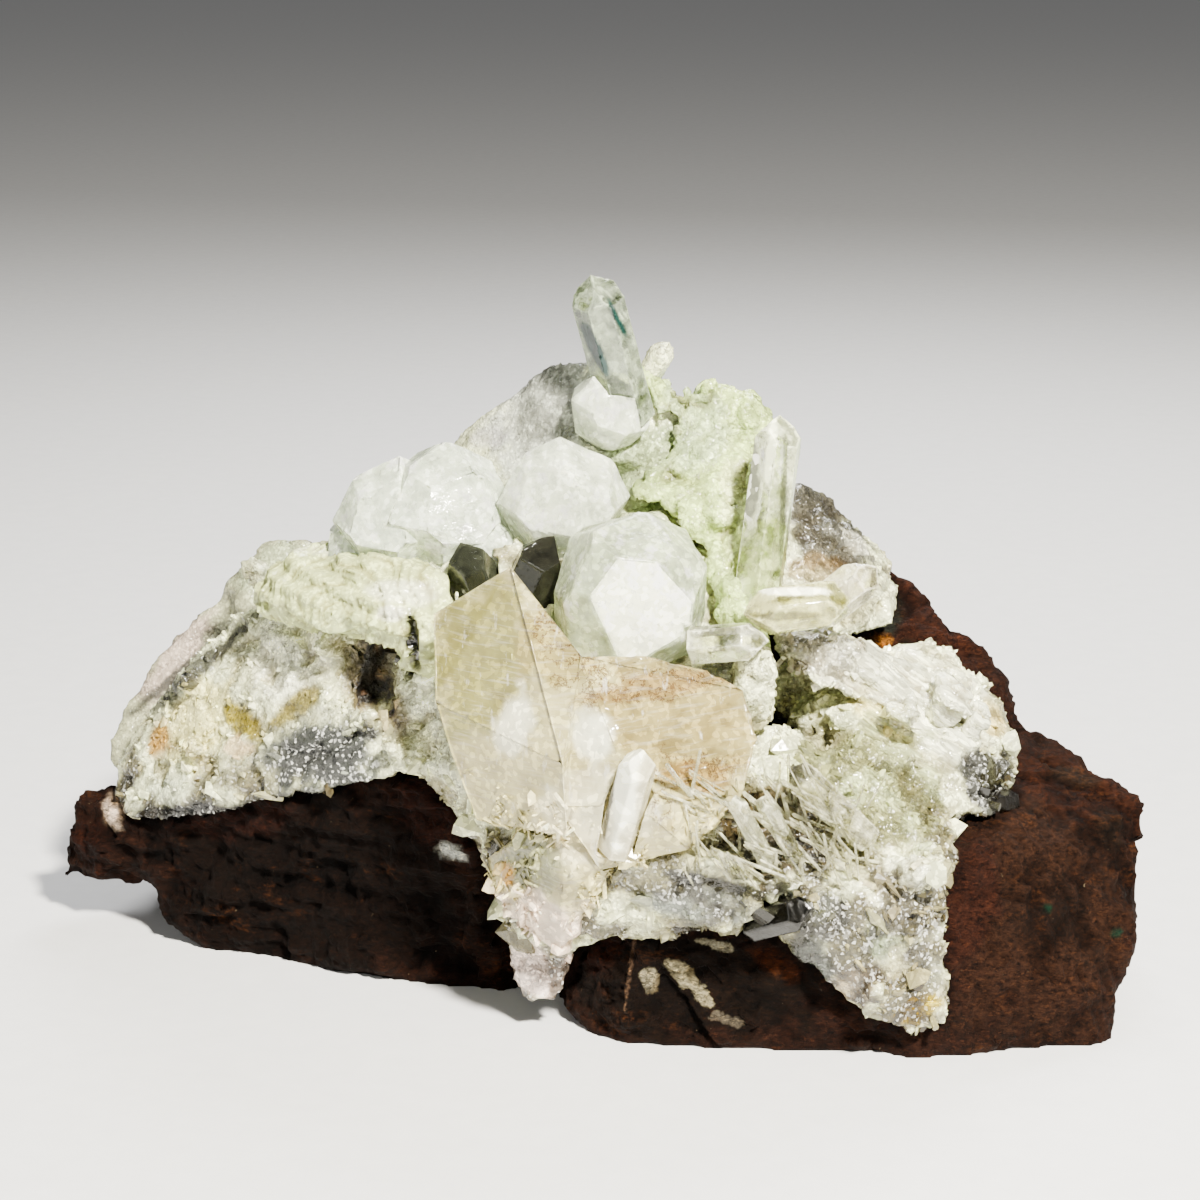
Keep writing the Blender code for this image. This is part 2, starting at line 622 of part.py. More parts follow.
def make_quartzes():
    """Each large quartz prism, with a fatter twin."""
    made = []
    for name, (foot, tip, width, seed, two_ended) in QUARTZES.items():
        length = (Vector(tip) - Vector(foot)).length
        faces = quartz_faces(width, length, seed, 6, two_ended)
        whole = add_object(name, crystal(faces), "quartz")
        seat = add_object(f"{name}_seat", crystal(faces, GAP), "quartz", True)
        stand(whole, foot, tip)
        stand(seat, foot, tip)
        made.append((whole, seat))
    return made


def world_tree(thing):
    points = [thing.matrix_world @ v.co for v in thing.data.vertices]
    return BVHTree.FromPolygons(points, [p.vertices[:] for p in thing.data.polygons])


def touches(thing, seat):
    """Whether the seat's skin crosses the piece's skin, or the seat lies wholly inside the piece."""
    if world_tree(thing).overlap(world_tree(seat)):
        return True
    corner = thing.matrix_world.inverted() @ (seat.matrix_world @ seat.data.vertices[0].co)
    return is_inside(thing, corner, 0.0)


def fit_together(pairs):
    """Cuts each piece where the pieces before it sit, so that touching pieces keep the gap. The first
    pieces keep their whole shape, and the last are moulded round all the others."""
    bpy.context.view_layer.update()
    for place, (piece, _) in enumerate(pairs):
        for _, seat in pairs[:place]:
            if touches(piece, seat):
                boolean(piece, seat, "DIFFERENCE")
                keep_largest(piece)
    for _, seat in pairs:
        bpy.data.objects.remove(seat)
    return [piece for piece, _ in pairs]


def centre(pieces):
    """Moves the pieces together, so that the origin is in the middle of the footprint."""
    bpy.context.view_layer.update()
    corners = [p.matrix_world @ v.co for p in pieces for v in p.data.vertices]
    for axis in (0, 1):
        values = [c[axis] for c in corners]
        middle = (min(values) + max(values)) / 2
        for piece in pieces:
            piece.location[axis] -= middle
        print(f"moved by {-middle / MM:.3f} mm along axis {axis}")
    print(f"lowest point {min(c.z for c in corners) / MM:.3f} mm")


def main():
    empty_the_scene()
    pairs = make_quartzes() + make_analcimes() + make_calcite()
    rock, crust = make_rock(), make_crust()
    pairs += [(rock, fattened(rock, 1.4)), (crust, fattened(crust, 3.6, 0.7))]
    for piece in (make_back(), make_peak(), make_mound()):
        pairs.append((piece, fattened(piece, 2.6, CRUST_VOXEL)))
    centre(fit_together(pairs))


main()
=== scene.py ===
# %% [markdown]
# # Analcime with prehnite, quartz and calcite on basalt
# A cavity in basalt once filled with hot water, and minerals grew on its wall one after another.
# This lesson dresses the plain solids of such a specimen with what the eye sees: broken rock,
# sugary crust, frosty and clear crystals. Each part takes one mineral, and says how it grew, how
# it can be made, and why this way.

# %% Open the solids
import math

import bmesh
import bpy
import numpy as np
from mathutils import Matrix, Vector
from mathutils.bvhtree import BVHTree


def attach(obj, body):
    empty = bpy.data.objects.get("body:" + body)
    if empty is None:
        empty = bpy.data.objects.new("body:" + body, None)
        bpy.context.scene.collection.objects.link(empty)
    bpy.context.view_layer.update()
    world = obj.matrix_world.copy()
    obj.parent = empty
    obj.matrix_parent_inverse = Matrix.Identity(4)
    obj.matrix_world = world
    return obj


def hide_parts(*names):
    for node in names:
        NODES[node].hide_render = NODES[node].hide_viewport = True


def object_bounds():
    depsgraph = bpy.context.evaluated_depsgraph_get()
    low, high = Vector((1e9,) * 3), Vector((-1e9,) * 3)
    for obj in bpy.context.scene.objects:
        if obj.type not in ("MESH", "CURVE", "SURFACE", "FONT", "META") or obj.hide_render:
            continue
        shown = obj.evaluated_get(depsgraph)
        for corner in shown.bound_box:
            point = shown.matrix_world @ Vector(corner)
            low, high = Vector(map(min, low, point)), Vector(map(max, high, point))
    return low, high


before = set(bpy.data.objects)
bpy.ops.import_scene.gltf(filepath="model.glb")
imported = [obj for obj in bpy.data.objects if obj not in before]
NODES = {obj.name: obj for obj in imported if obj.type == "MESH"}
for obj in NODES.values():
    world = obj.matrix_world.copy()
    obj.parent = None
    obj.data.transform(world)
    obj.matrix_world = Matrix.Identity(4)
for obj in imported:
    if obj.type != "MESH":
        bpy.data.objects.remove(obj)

cad_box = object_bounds()
MM = 0.001
print(len(NODES), "solids,", [round((b - a) / MM, 1) for a, b in zip(*cad_box)], "mm")

# %% [markdown]
# ## The eye
# The specimen is seen from the front, 15 degrees above level, through a long lens from 285 mm. The
# same eye also tells where a stain or a small crystal lies: its place is given as mm to the right
# of the picture's middle and mm above it, and the line of sight through that place finds the stone.

# %% Camera
AIM = Vector((1.244, 0.062, 37.5))
DISTANCE = 285.0
SLOPE = math.radians(15.0)
LENS = 85.0
SENSOR = 36.0

RIGHT = Vector((1, 0, 0))
BACKWARD = Vector((0, -math.cos(SLOPE), math.sin(SLOPE)))
UPWARD = BACKWARD.cross(RIGHT)
EYE = AIM + BACKWARD * DISTANCE

camera = bpy.data.objects.new("camera", bpy.data.cameras.new("camera"))
bpy.context.scene.collection.objects.link(camera)
camera.data.lens = LENS
camera.data.sensor_width = SENSOR
camera.data.clip_start = 0.01
camera.location = EYE * MM
camera.rotation_mode = "QUATERNION"
camera.rotation_quaternion = (-BACKWARD).to_track_quat("-Z", "Y")
bpy.context.scene.camera = camera


def tree_of(solid):
    corners = [v.co / MM for v in solid.data.vertices]
    return BVHTree.FromPolygons(corners, [p.vertices[:] for p in solid.data.polygons])


TREES = {name: tree_of(solid) for name, solid in NODES.items()}


def spot(across, up, *names):
    """Where the line of sight first meets one of these solids, or any of them, in mm."""
    sight = (RIGHT * across + UPWARD * up - BACKWARD * DISTANCE).normalized()
    hits = [TREES[name].ray_cast(EYE, sight) for name in names or TREES]
    hits = [hit for hit in hits if hit[0]]
    if not hits:
        return np.array(EYE + sight * DISTANCE)
    return np.array(min(hits, key=lambda hit: hit[3])[0])


print("the middle of the picture lies at", spot(0, 0).round(1), "mm")

# %% [markdown]
# ## Noise in plain numbers
# Rock and crystals look uneven at every scale. Two kinds of noise are enough. Cloudy noise fades
# between random numbers at the corners of a grid. Facet noise gives each point to the nearest of
# many scattered seeds, and every seed owns a small tilted plane, as broken or sugary stone does.


# %% Noise
def scramble(cells, seed):
    """Three random numbers from 0 to 1 for each whole-numbered cell."""
    c = cells.astype(np.int64).astype(np.uint32)
    mixed = c[:, 0] * np.uint32(73856093) ^ c[:, 1] * np.uint32(19349663) ^ c[:, 2] * np.uint32(83492791)
    mixed = mixed ^ np.uint32((seed * 2654435761) % 2**32)
    made = []
    for turn in (2246822519, 3266489917, 668265263):
        mixed = (mixed ^ mixed >> np.uint32(15)) * np.uint32(turn)
        mixed = mixed ^ mixed >> np.uint32(13)
        made.append(mixed.astype(np.float64) / 2**32)
    return np.stack(made, 1)


def cloud(points, size, seed=0, octaves=3):
    """Cloudy noise from about -1 to 1, whose largest clouds have this size in mm."""
    total = np.zeros(len(points))
    weight = 0.0
    for octave in range(octaves):
        scale = 2.0**octave
        p = points / size * scale
        cell = np.floor(p)
        f = p - cell
        f = f * f * (3 - 2 * f)
        value = np.zeros(len(p))
        for corner in range(8):
            step = np.array([corner & 1, corner >> 1 & 1, corner >> 2])
            share = np.prod(np.where(step, f, 1 - f), axis=1)
            value += share * scramble(cell + step, seed + octave * 17)[:, 0]
        total += (value * 2 - 1) / scale
        weight += 1 / scale
    return total / weight * 1.6


def facets(points, size, seed=0):
    """For each point: the way from its nearest seed in mm, and that seed's three random numbers."""
    p = points / size
    cell = np.floor(p)
    best = np.full(len(p), 9.0)
    away = np.zeros_like(p)
    luck = np.zeros_like(p)
    for index in range(27):
        near = cell + (index // 9 - 1, index // 3 % 3 - 1, index % 3 - 1)
        off = p - near - scramble(near, seed)
        far = np.einsum("ij,ij->i", off, off)
        new = far < best
        best = np.where(new, far, best)
        away[new] = off[new]
        luck[new] = scramble(near[new], seed + 5)
    return away * size, luck


def chips(points, size, steep, seed=0):
    """Height in mm of a surface that is broken into tilted planes of about this size."""
    away, luck = facets(points, size, seed)
    return np.einsum("ij,ij->i", away, luck - 0.5) * steep + (luck[:, 0] - 0.5) * steep * size * 0.4


def domes(points, size, seed=0):
    """Height from 0 to 1 of round heads of about this size."""
    away, luck = facets(points, size, seed)
    round_off = 1 - np.einsum("ij,ij->i", away, away) / size**2 * 1.3
    return np.sqrt(np.clip(round_off, 0, 1)) * (0.6 + 0.4 * luck[:, 1])


def drawn(points, start, end, stretch):
    """The points pressed together along the line from start to end, so that noise is drawn out."""
    along = np.array(end) - np.array(start)
    along /= np.linalg.norm(along)
    return points - np.outer(points @ along, along) * (1 - 1 / stretch)


def smooth(value, low, high):
    """From 0 at low to 1 at high, with soft ends."""
    t = np.clip((value - low) / (high - low), 0, 1)
    return t * t * (3 - 2 * t)


# %% [markdown]
# ## Tools for a shape
# A solid is copied and never changed. The copy gets an even skin of small triangles by voxels, or
# its own flat faces with bevelled edges where it is a crystal. Then its points are pushed in and
# out by noise. Lumps can be melted into it first, to fill a gap or to carry a feature.


# %% Shape tools
def shown(name, mesh, slot, *nodes):
    """A piece of the specimen with this mesh, which stands for these solids."""
    made = bpy.data.objects.new(name, mesh)
    bpy.context.scene.collection.objects.link(made)
    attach(made, "root")
    if nodes:
        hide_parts(*nodes)
    return made


def copy_of(name, slot, nodes, lumps=()):
    """A piece that joins copies of these solids and round lumps (middle, half sizes), in mm."""
    shape = bmesh.new()
    for node_name in nodes:
        shape.from_mesh(NODES[node_name].data)
    for middle, half in lumps:
        ball = bmesh.ops.create_icosphere(shape, subdivisions=3, radius=1.0)["verts"]
        for corner in ball:
            corner.co = Vector([(m + c * h) * MM for m, c, h in zip(middle, corner.co, half)])
    bmesh.ops.remove_doubles(shape, verts=shape.verts, dist=1e-6)
    mesh = bpy.data.meshes.new(name)
    shape.to_mesh(mesh)
    shape.free()
    return shown(name, mesh, slot, *nodes)


def use(thing, kind, **settings):
    """Adds a modifier and applies it at once."""
    change = thing.modifiers.new(kind.lower(), kind)
    for key, value in settings.items():
        setattr(change, key, value)
    bpy.context.view_layer.update()
    graph = bpy.context.evaluated_depsgraph_get()
    made = bpy.data.meshes.new_from_object(thing.evaluated_get(graph))
    thing.modifiers.clear()
    thing.data = made


def skin(thing, voxel):
    use(thing, "REMESH", mode="VOXEL", voxel_size=voxel * MM, use_smooth_shade=True)


def split(thing, longest, middle=(0, 0, 0), reach=1000.0):
    """Halves every edge within reach of the middle that is longer than this, until none is."""
    shape = bmesh.new()
    shape.from_mesh(thing.data)
    inside = Vector(middle) * MM
    for _ in range(6):
        close = [edge for edge in shape.edges if (edge.verts[0].co - inside).length < reach * MM]
        long = [edge for edge in close if edge.calc_length() > longest * MM]
        if not long:
            break
        bmesh.ops.subdivide_edges(shape, edges=long, cuts=1, use_grid_fill=True)
        bmesh.ops.triangulate(shape, faces=[face for face in shape.faces if len(face.verts) > 3])
    shape.to_mesh(thing.data)
    shape.free()


def crystal(name, slot, node_name, bevel, finest, trim=None):
    """A copy with narrow bevelled edges, and points on each face for fine detail. Trim may cut it."""
    made = copy_of(name, slot, [node_name])
    if trim:
        trim(made)
    use(made, "DECIMATE", decimate_type="DISSOLVE", angle_limit=math.radians(4))
    use(made, "BEVEL", width=bevel * MM, segments=2, limit_method="ANGLE", angle_limit=math.radians(14))
    use(made, "TRIANGULATE")
    split(made, finest)
    made.data.shade_smooth()
    return made


def places(thing):
    """The mesh's points in mm."""
    flat = np.empty(len(thing.data.vertices) * 3)
    thing.data.vertices.foreach_get("co", flat)
    return flat.reshape(-1, 3) / MM


def normals(thing):
    flat = np.empty(len(thing.data.vertices) * 3)
    thing.data.vertex_normals.foreach_get("vector", flat)
    return flat.reshape(-1, 3)


def push(thing, height):
    """Moves each point along its normal by its height in mm."""
    moved = places(thing) + normals(thing) * np.reshape(height, (-1, 1))
    thing.data.vertices.foreach_set("co", (moved * MM).ravel())
    thing.data.update()


def edges(thing, least=6.0, most=20.0):
    """1 at points where the faces around meet at an angle, 0 on flat faces."""
    mesh = thing.data
    facing = np.empty(len(mesh.polygons) * 3)
    mesh.polygons.foreach_get("normal", facing)
    corner = np.empty(len(mesh.loops), np.int32)
    mesh.loops.foreach_get("vertex_index", corner)
    sizes = np.empty(len(mesh.polygons), np.int32)
    mesh.polygons.foreach_get("loop_total", sizes)
    around = np.repeat(facing.reshape(-1, 3), sizes, axis=0)
    agree = np.einsum("ij,ij->i", around, normals(thing)[corner])
    lowest = np.ones(len(mesh.vertices))
    np.minimum.at(lowest, corner, agree)
    return smooth(np.degrees(np.arccos(np.clip(lowest, -1, 1))), least, most)


def count(thing):
    thing.data.calc_loop_triangles()
    return f"{thing.name}: {len(thing.data.loop_triangles)} triangles"


# %% [markdown]
# ## Tools for colour
# A stone's colour follows its history: iron seeps in here, dirt gathers there. So each stain is a
# named oval patch with a ragged edge. Its size and place are in mm as seen by the eye, and it is
# stored at the points of the mesh, where every view finds it again.
# Shade in hollows and at joints is painted into the stored colour as well.


# %% Colour tools
def srgb(*colour):
    """A colour as a screen shows it, turned into amounts of light."""
    c = np.array(colour, float)
    return np.where(c <= 0.04045, c / 12.92, ((c + 0.055) / 1.055) ** 2.4)


def patch(points, across, up, wide, high, turn, nodes=(), soft=0.5, ragged=0.35, size=1.6):
    """How much each point lies in an oval, from 0 to 1. The oval has this half width and half
    height, is turned clockwise by degrees, and fades out over the soft share of its size."""
    off = points - spot(across, up, *nodes)
    aside = off @ np.array(RIGHT)
    down = -off @ np.array(UPWARD)
    deep = off @ np.array(BACKWARD)
    c, s = math.cos(math.radians(turn)), math.sin(math.radians(turn))
    reach = max(wide, high, 2.5)
    far = ((aside * c + down * s) / wide) ** 2 + ((down * c - aside * s) / high) ** 2 + (deep / reach) ** 2
    return 1 - smooth(np.sqrt(far) + cloud(points, size, 77) * ragged, 1 - soft / 2, 1 + soft / 2)


def beside(thing, reach, node_name):
    """From 1 at points that touch this solid to 0 at this distance from it in mm. Where the solid
    only lies behind the surface, it doesn't count."""
    found = np.zeros(len(thing.data.vertices))
    for index, (point, facing) in enumerate(zip(places(thing), normals(thing))):
        place, _, _, gap = TREES[node_name].find_nearest(point, reach)
        if place and (np.array(place) - point) @ facing > -0.5 * gap:
            found[index] = 1 - gap / reach
    return found


def store(thing, layer, value):
    """Stores three numbers per point as a colour."""
    kept = thing.data.color_attributes.new(layer, "FLOAT_COLOR", "POINT")
    kept.data.foreach_set("color", np.hstack([value, np.ones((len(value), 1))]).ravel())


def stained(points, colour, stains, nodes=(), **edge):
    """The colour with each stain laid over it in turn."""
    for across, up, wide, high, turn, shade, strength in stains.values():
        share = patch(points, across, up, wide, high, turn, nodes, **edge)[:, None] * strength
        colour = colour * (1 - share) + srgb(*shade) * share
    return colour


def paint(thing, ground, stains, nodes=(), relief=1.0, inclusions=None):
    """Stores the colour: the ground, the stains and the sharper inclusions, times the relief, a
    darkening that holds painted shade in hollows and at joints.
    """
    points = places(thing)
    colour = stained(points, srgb(*ground) * np.ones((len(points), 1)), stains, nodes)
    colour = stained(points, colour, inclusions or {}, nodes, soft=0.12, ragged=0.45, size=0.9)
    store(thing, "tint", colour * np.reshape(relief, (-1, 1)) ** np.array([1.0, 1.12, 1.3]))


def look(thing, clear, rough, pepper=0.0, areas=None, nodes=()):
    """Stores how clear and how rough the mineral is, and its share of black and white grains."""
    points = places(thing)
    value = np.stack([np.broadcast_to(part, len(points)) for part in (clear, rough, pepper)], 1).astype(float)
    for across, up, wide, high, turn, change in (areas or {}).values():
        share = patch(points, across, up, wide, high, turn, nodes)[:, None]
        value = value * (1 - share) + np.array(change) * share
    store(thing, "look", value)


def painted_hollow_shade(height, darkest):
    """From darkest at the lowest of these heights to 1 at the higher ones: painted shade
    in the hollows.
    """
    low, middle = np.percentile(height, (3, 60))
    return darkest + (1 - darkest) * smooth(height, low, middle)


# %% [markdown]
# ## Tools for a material
# A material is a small network of nodes. These helpers keep each recipe short enough to read.


# %% Material tools
def material(name):
    made = bpy.data.materials.new(name)
    made.use_nodes = True
    return made, made.node_tree, made.node_tree.nodes["Principled BSDF"]


def node(tree, kind, inputs=None, **settings):
    """Adds a node. An input is a number, a colour or another node's output."""
    made = tree.nodes.new("ShaderNode" + kind)
    for key, value in settings.items():
        setattr(made, key, value)
    for key, value in (inputs or {}).items():
        if isinstance(value, bpy.types.NodeSocket):
            tree.links.new(value, made.inputs[key])
        else:
            made.inputs[key].default_value = value
    return made


def in_mm(tree, stretch=(1, 1, 1)):
    """The place on the specimen in mm, with each direction stretched."""
    where = node(tree, "TexCoord").outputs["Object"]
    factors = [1000 * s for s in stretch]
    return node(tree, "VectorMath", {0: where, 1: factors}, operation="MULTIPLY").outputs[0]


def noise(tree, where, size, detail=3.0, rough=0.6):
    """Cloudy noise from 0 to 1, whose largest clouds have this size in mm."""
    settings = {"Vector": where, "Scale": 1 / size, "Detail": detail, "Roughness": rough}
    return node(tree, "TexNoise", settings).outputs[0]


def ramp(tree, value, low, high, start=0.0, end=1.0):
    """The value stretched, so that low gives start and high gives end."""
    levels = {"Value": value, "From Min": low, "From Max": high, "To Min": start, "To Max": end}
    return node(tree, "MapRange", levels).outputs[0]


def sums(tree, first, second, factor=1.0):
    """The first value plus a share of the second."""
    return node(tree, "Math", {0: second, 1: factor, 2: first}, operation="MULTIPLY_ADD").outputs[0]


def times(tree, first, second):
    return node(tree, "Math", {0: first, 1: second}, operation="MULTIPLY").outputs[0]


def grey(tree, value):
    return node(tree, "CombineColor", {"Red": value, "Green": value, "Blue": value}).outputs[0]


def parts(tree, colour):
    """A colour's red, green and blue."""
    return node(tree, "SeparateColor", {"Color": colour}).outputs[:3]


def mix(tree, share, first, second, blend="MIX"):
    """From the first colour at share 0 to the second, or to their product, at share 1."""
    first, second = (v if isinstance(v, bpy.types.NodeSocket) else (*v, 1.0) for v in (first, second))
    return node(tree, "Mix", {0: share, 6: first, 7: second}, data_type="RGBA", blend_type=blend).outputs[2]


def stored(tree, layer):
    return node(tree, "VertexColor", layer_name=layer).outputs["Color"]


def grains(tree, where, size):
    """Height of tiny tilted planes of about this size in mm, and a random colour for each."""
    cells = node(tree, "TexVoronoi", {"Vector": where, "Scale": 1 / size})
    off = node(tree, "VectorMath", {0: where, 1: cells.outputs["Position"]}, operation="SUBTRACT").outputs[0]
    lean = node(tree, "VectorMath", {0: cells.outputs["Color"], 1: (0.5, 0.5, 0.5)}, operation="SUBTRACT")
    height = node(tree, "VectorMath", {0: off, 1: lean.outputs[0]}, operation="DOT_PRODUCT").outputs["Value"]
    return height, cells.outputs["Color"]


def threads(tree, where, size, width):
    """1 on thin wandering lines and 0 elsewhere."""
    wander = node(tree, "Math", {0: noise(tree, where, size, 4, 0.7), 1: 0.5}, operation="SUBTRACT")
    off = node(tree, "Math", {0: wander.outputs[0]}, operation="ABSOLUTE")
    return ramp(tree, off.outputs[0], 0.0, width, 1.0, 0.0)


def drawn_out(tree, where, along, stretch):
    """The place pressed together along this direction, so that grains turn into fibres."""
    far = node(tree, "VectorMath", {0: where, 1: along}, operation="DOT_PRODUCT").outputs["Value"]
    part = node(tree, "VectorMath", {0: along, "Scale": times(tree, far, 1 - 1 / stretch)}, operation="SCALE")
    return node(tree, "VectorMath", {0: where, 1: part.outputs[0]}, operation="SUBTRACT").outputs[0]


def bumps(tree, shader, height, deep):
    """Uses this height, which runs from about 0 to 1, as fine relief of this depth in mm."""
    made = node(tree, "Bump", {"Height": height, "Distance": deep * MM})
    tree.links.new(made.outputs["Normal"], shader.inputs["Normal"])


# %% [markdown]
# ## Basalt
# Basalt is fine-grained lava. The iron in it has rusted, which makes it red-brown, and it breaks
# into rough faces with small chips. The skin gets chips of three sizes, from 6 mm down to 1 mm. The
# left block also shows thin ledges, where the lava flowed. The flat underside stays flat.

# %% Basalt shape
ROCK = ["basalt_matrix"]
rock = copy_of("rock", "basalt", ROCK)
skin(rock, 0.56)
split(rock, 0.32, spot(8, -38, *ROCK), 8.0)
points = places(rock)
height = chips(points, 6.0, 0.20, 3) + chips(points, 2.3, 0.26, 4) + chips(points, 0.95, 0.34, 6)
height += 0.25 * cloud(points, 1.6, 8, 2)
flow = cloud(points * (0.25, 0.4, 1.6), 1.5, 9, 3)
ledges = np.round(flow * 2.5) / 2.5 * smooth(-points[:, 0], -8, 2)
height += 0.55 * ledges - 0.25
push(rock, height * smooth(points[:, 2], 0.0, 1.2))
print(count(rock))

# %% Basalt colour
# Each stain: mm across and up, half width and half height, turn in degrees, colour, strength.
ROCK_STAINS = {
    "lit right face": (44, -30, 13, 14, 0, (0.144, 0.083, 0.050), 0.9),
    "redder edge by the crust": (37, -30, 3, 7, 10, (0.144, 0.062, 0.036), 0.7),
    "rusty shoulder": (48, -19, 7.5, 3, 25, (0.160, 0.076, 0.036), 0.75),
    "grey mottle on the shoulder": (47.5, -17.5, 3, 1, 20, (0.110, 0.085, 0.056), 0.7),
    "grey mottle at the right end": (52, -22, 2, 2.6, 0, (0.094, 0.072, 0.048), 0.7),
    "right ridge": (34, -2, 6, 6, 45, (0.166, 0.081, 0.046), 0.8),
    "speckled ridge foot": (29, -1, 1.4, 3, 10, (0.10, 0.12, 0.10), 0.9),
    "dark green spot": (31.2, -5, 1.3, 1.3, 0, (0.044, 0.050, 0.028), 0.9),
    "orange spot": (28.4, -4, 1, 0.6, 0, (0.55, 0.34, 0.10), 0.9),
    "shaded left block": (-29, -28, 20, 11, 0, (0.040, 0.017, 0.009), 0.95),
    "pinkish top of the left block": (-37, -22, 7.5, 2.2, -8, (0.138, 0.062, 0.037), 0.8),
    "pinkish streak": (-39.5, -20, 3.4, 1.2, -10, (0.166, 0.090, 0.053), 0.6),
    "smooth facet by the calcite": (-15.5, -21.5, 6.2, 3.6, 35, (0.130, 0.056, 0.032), 0.85),
    "cream patch on the tip": (-48.8, -21, 1.3, 2, -10, (0.80, 0.72, 0.64), 1.0),
    "red left tip": (-51.5, -25, 3, 3, 0, (0.127, 0.050, 0.025), 0.7),
    "dark seam under the crust": (-30, -17, 5.5, 0.9, -4, (0.16, 0.15, 0.14), 0.8),
    "white inclusion": (-14.7, -25.4, 1.7, 0.7, 12, (0.72, 0.73, 0.70), 1.0),
    "dark front foot": (10, -38.5, 13, 5.5, 0, (0.050, 0.026, 0.014), 0.95),
    "red-brown lobe": (0.5, -34.5, 2, 3.4, 20, (0.138, 0.051, 0.026), 0.8),
    "rust on the foot": (17.5, -36.5, 2.8, 1.0, 30, (0.199, 0.085, 0.018), 0.85),
    "yellow fleck": (-9.8, -21.8, 0.8, 0.8, 0, (0.60, 0.50, 0.12), 1.0),
    "green speck": (45.2, -31, 0.5, 0.4, 0, (0.03, 0.16, 0.11), 1.0),
    "green speck below the edge": (52, -33.5, 0.4, 0.5, 0, (0.03, 0.14, 0.10), 1.0),
}
INCLUSIONS = {
    "cream lens": (8.8, -38.2, 3.4, 0.75, 48, (0.50, 0.47, 0.37), 1.0),
    "cream oval": (5.1, -38.4, 0.8, 1.4, -18, (0.52, 0.49, 0.40), 1.0),
    "pale dashes": (11.6, -34.7, 1.7, 0.4, 12, (0.50, 0.48, 0.40), 1.0),
    "pale spots": (12.5, -42.2, 2.0, 0.5, 20, (0.34, 0.31, 0.26), 0.7),
    "pale vein": (3.2, -36, 0.18, 5.0, 8, (0.34, 0.26, 0.20), 0.8),
}


def seam_shade(thing, solid, reach, darkest):
    """Darkens the joint with another solid: painted contact shade, and the crumbly dirt that
    collects there.
    """
    joint = beside(thing, reach, solid) * smooth(cloud(places(thing), 1.2, 88, 3), -0.8, 0.2)
    return 1 - (1 - darkest) * smooth(joint, 0.05, 0.6)


def basalt():
    made, tree, shader = material("basalt")
    where = in_mm(tree)
    broad = noise(tree, where, 7.0, 4)
    fine = noise(tree, in_mm(tree, (0.8, 0.8, 1.5)), 0.6, 6, 0.8)
    shade = ramp(tree, fine, 0.36, 0.64, 0.1, 1.9)
    tint = stored(tree, "tint")
    colour = mix(tree, 1.0, tint, grey(tree, shade), "MULTIPLY")
    colour = mix(tree, ramp(tree, broad, 0.48, 0.70, 0.0, 0.5), colour, (0.006, 0.0035, 0.0025))
    flat = in_mm(tree, (0.5, 0.5, 1.2))
    flecks = ramp(tree, noise(tree, flat, 1.1, 5, 0.85), 0.62, 0.68, 0.0, 0.9)
    colour = mix(tree, flecks, colour, mix(tree, 1.0, tint, (4.0, 3.4, 2.6), "MULTIPLY"))
    dust = ramp(tree, noise(tree, flat, 0.35, 3, 0.8), 0.56, 0.64, 0.0, 0.8)
    colour = mix(tree, dust, colour, mix(tree, 1.0, tint, (2.6, 2.4, 2.0), "MULTIPLY"))
    specks = ramp(tree, noise(tree, where, 0.9, 4, 0.8), 0.70, 0.72, 0.0, 0.8)
    colour = mix(tree, specks, colour, (0.16, 0.12, 0.07))
    rust = ramp(tree, noise(tree, flat, 3.4, 5, 0.7), 0.58, 0.68)
    rust = times(tree, rust, ramp(tree, fine, 0.45, 0.6, 0.0, 0.55))
    colour = mix(tree, rust, colour, (0.08, 0.026, 0.007))
    seams = times(tree, threads(tree, where, 5.0, 0.012), ramp(tree, broad, 0.45, 0.55, 0.0, 0.85))
    colour = mix(tree, seams, colour, (0.002, 0.0015, 0.001))
    tree.links.new(colour, shader.inputs["Base Color"])
    tree.links.new(ramp(tree, fine, 0.3, 0.7, 0.55, 0.9), shader.inputs["Roughness"])
    shader.inputs["Specular IOR Level"].default_value = 0.06
    chip, _ = grains(tree, where, 0.6)
    bumps(tree, shader, sums(tree, fine, chip, 0.5), 0.6)
    return made


# Painted shade in the hollows of the chips, and painted contact shade with crumbly dirt along the crust.
relief = painted_hollow_shade(height, 0.3) * seam_shade(rock, "prehnite_crust", 1.6, 0.3)
paint(rock, (0.125, 0.064, 0.038), ROCK_STAINS, ROCK, relief, INCLUSIONS)
rock.data.materials.append(basalt())

# %% [markdown]
# ## One recipe for the pale minerals
# Prehnite, analcime, calcite and quartz let light in and scatter it, each by its own share. One
# recipe serves them all. It reads the stored tint, and the stored look, whose red says how clear
# the mineral is, its green how rough, and its blue how much of it is black and white grains. All of
# them are faintly yellow from traces of iron.


# %% Mineral material
YELLOWISH = (0.99, 1.0, 0.80)


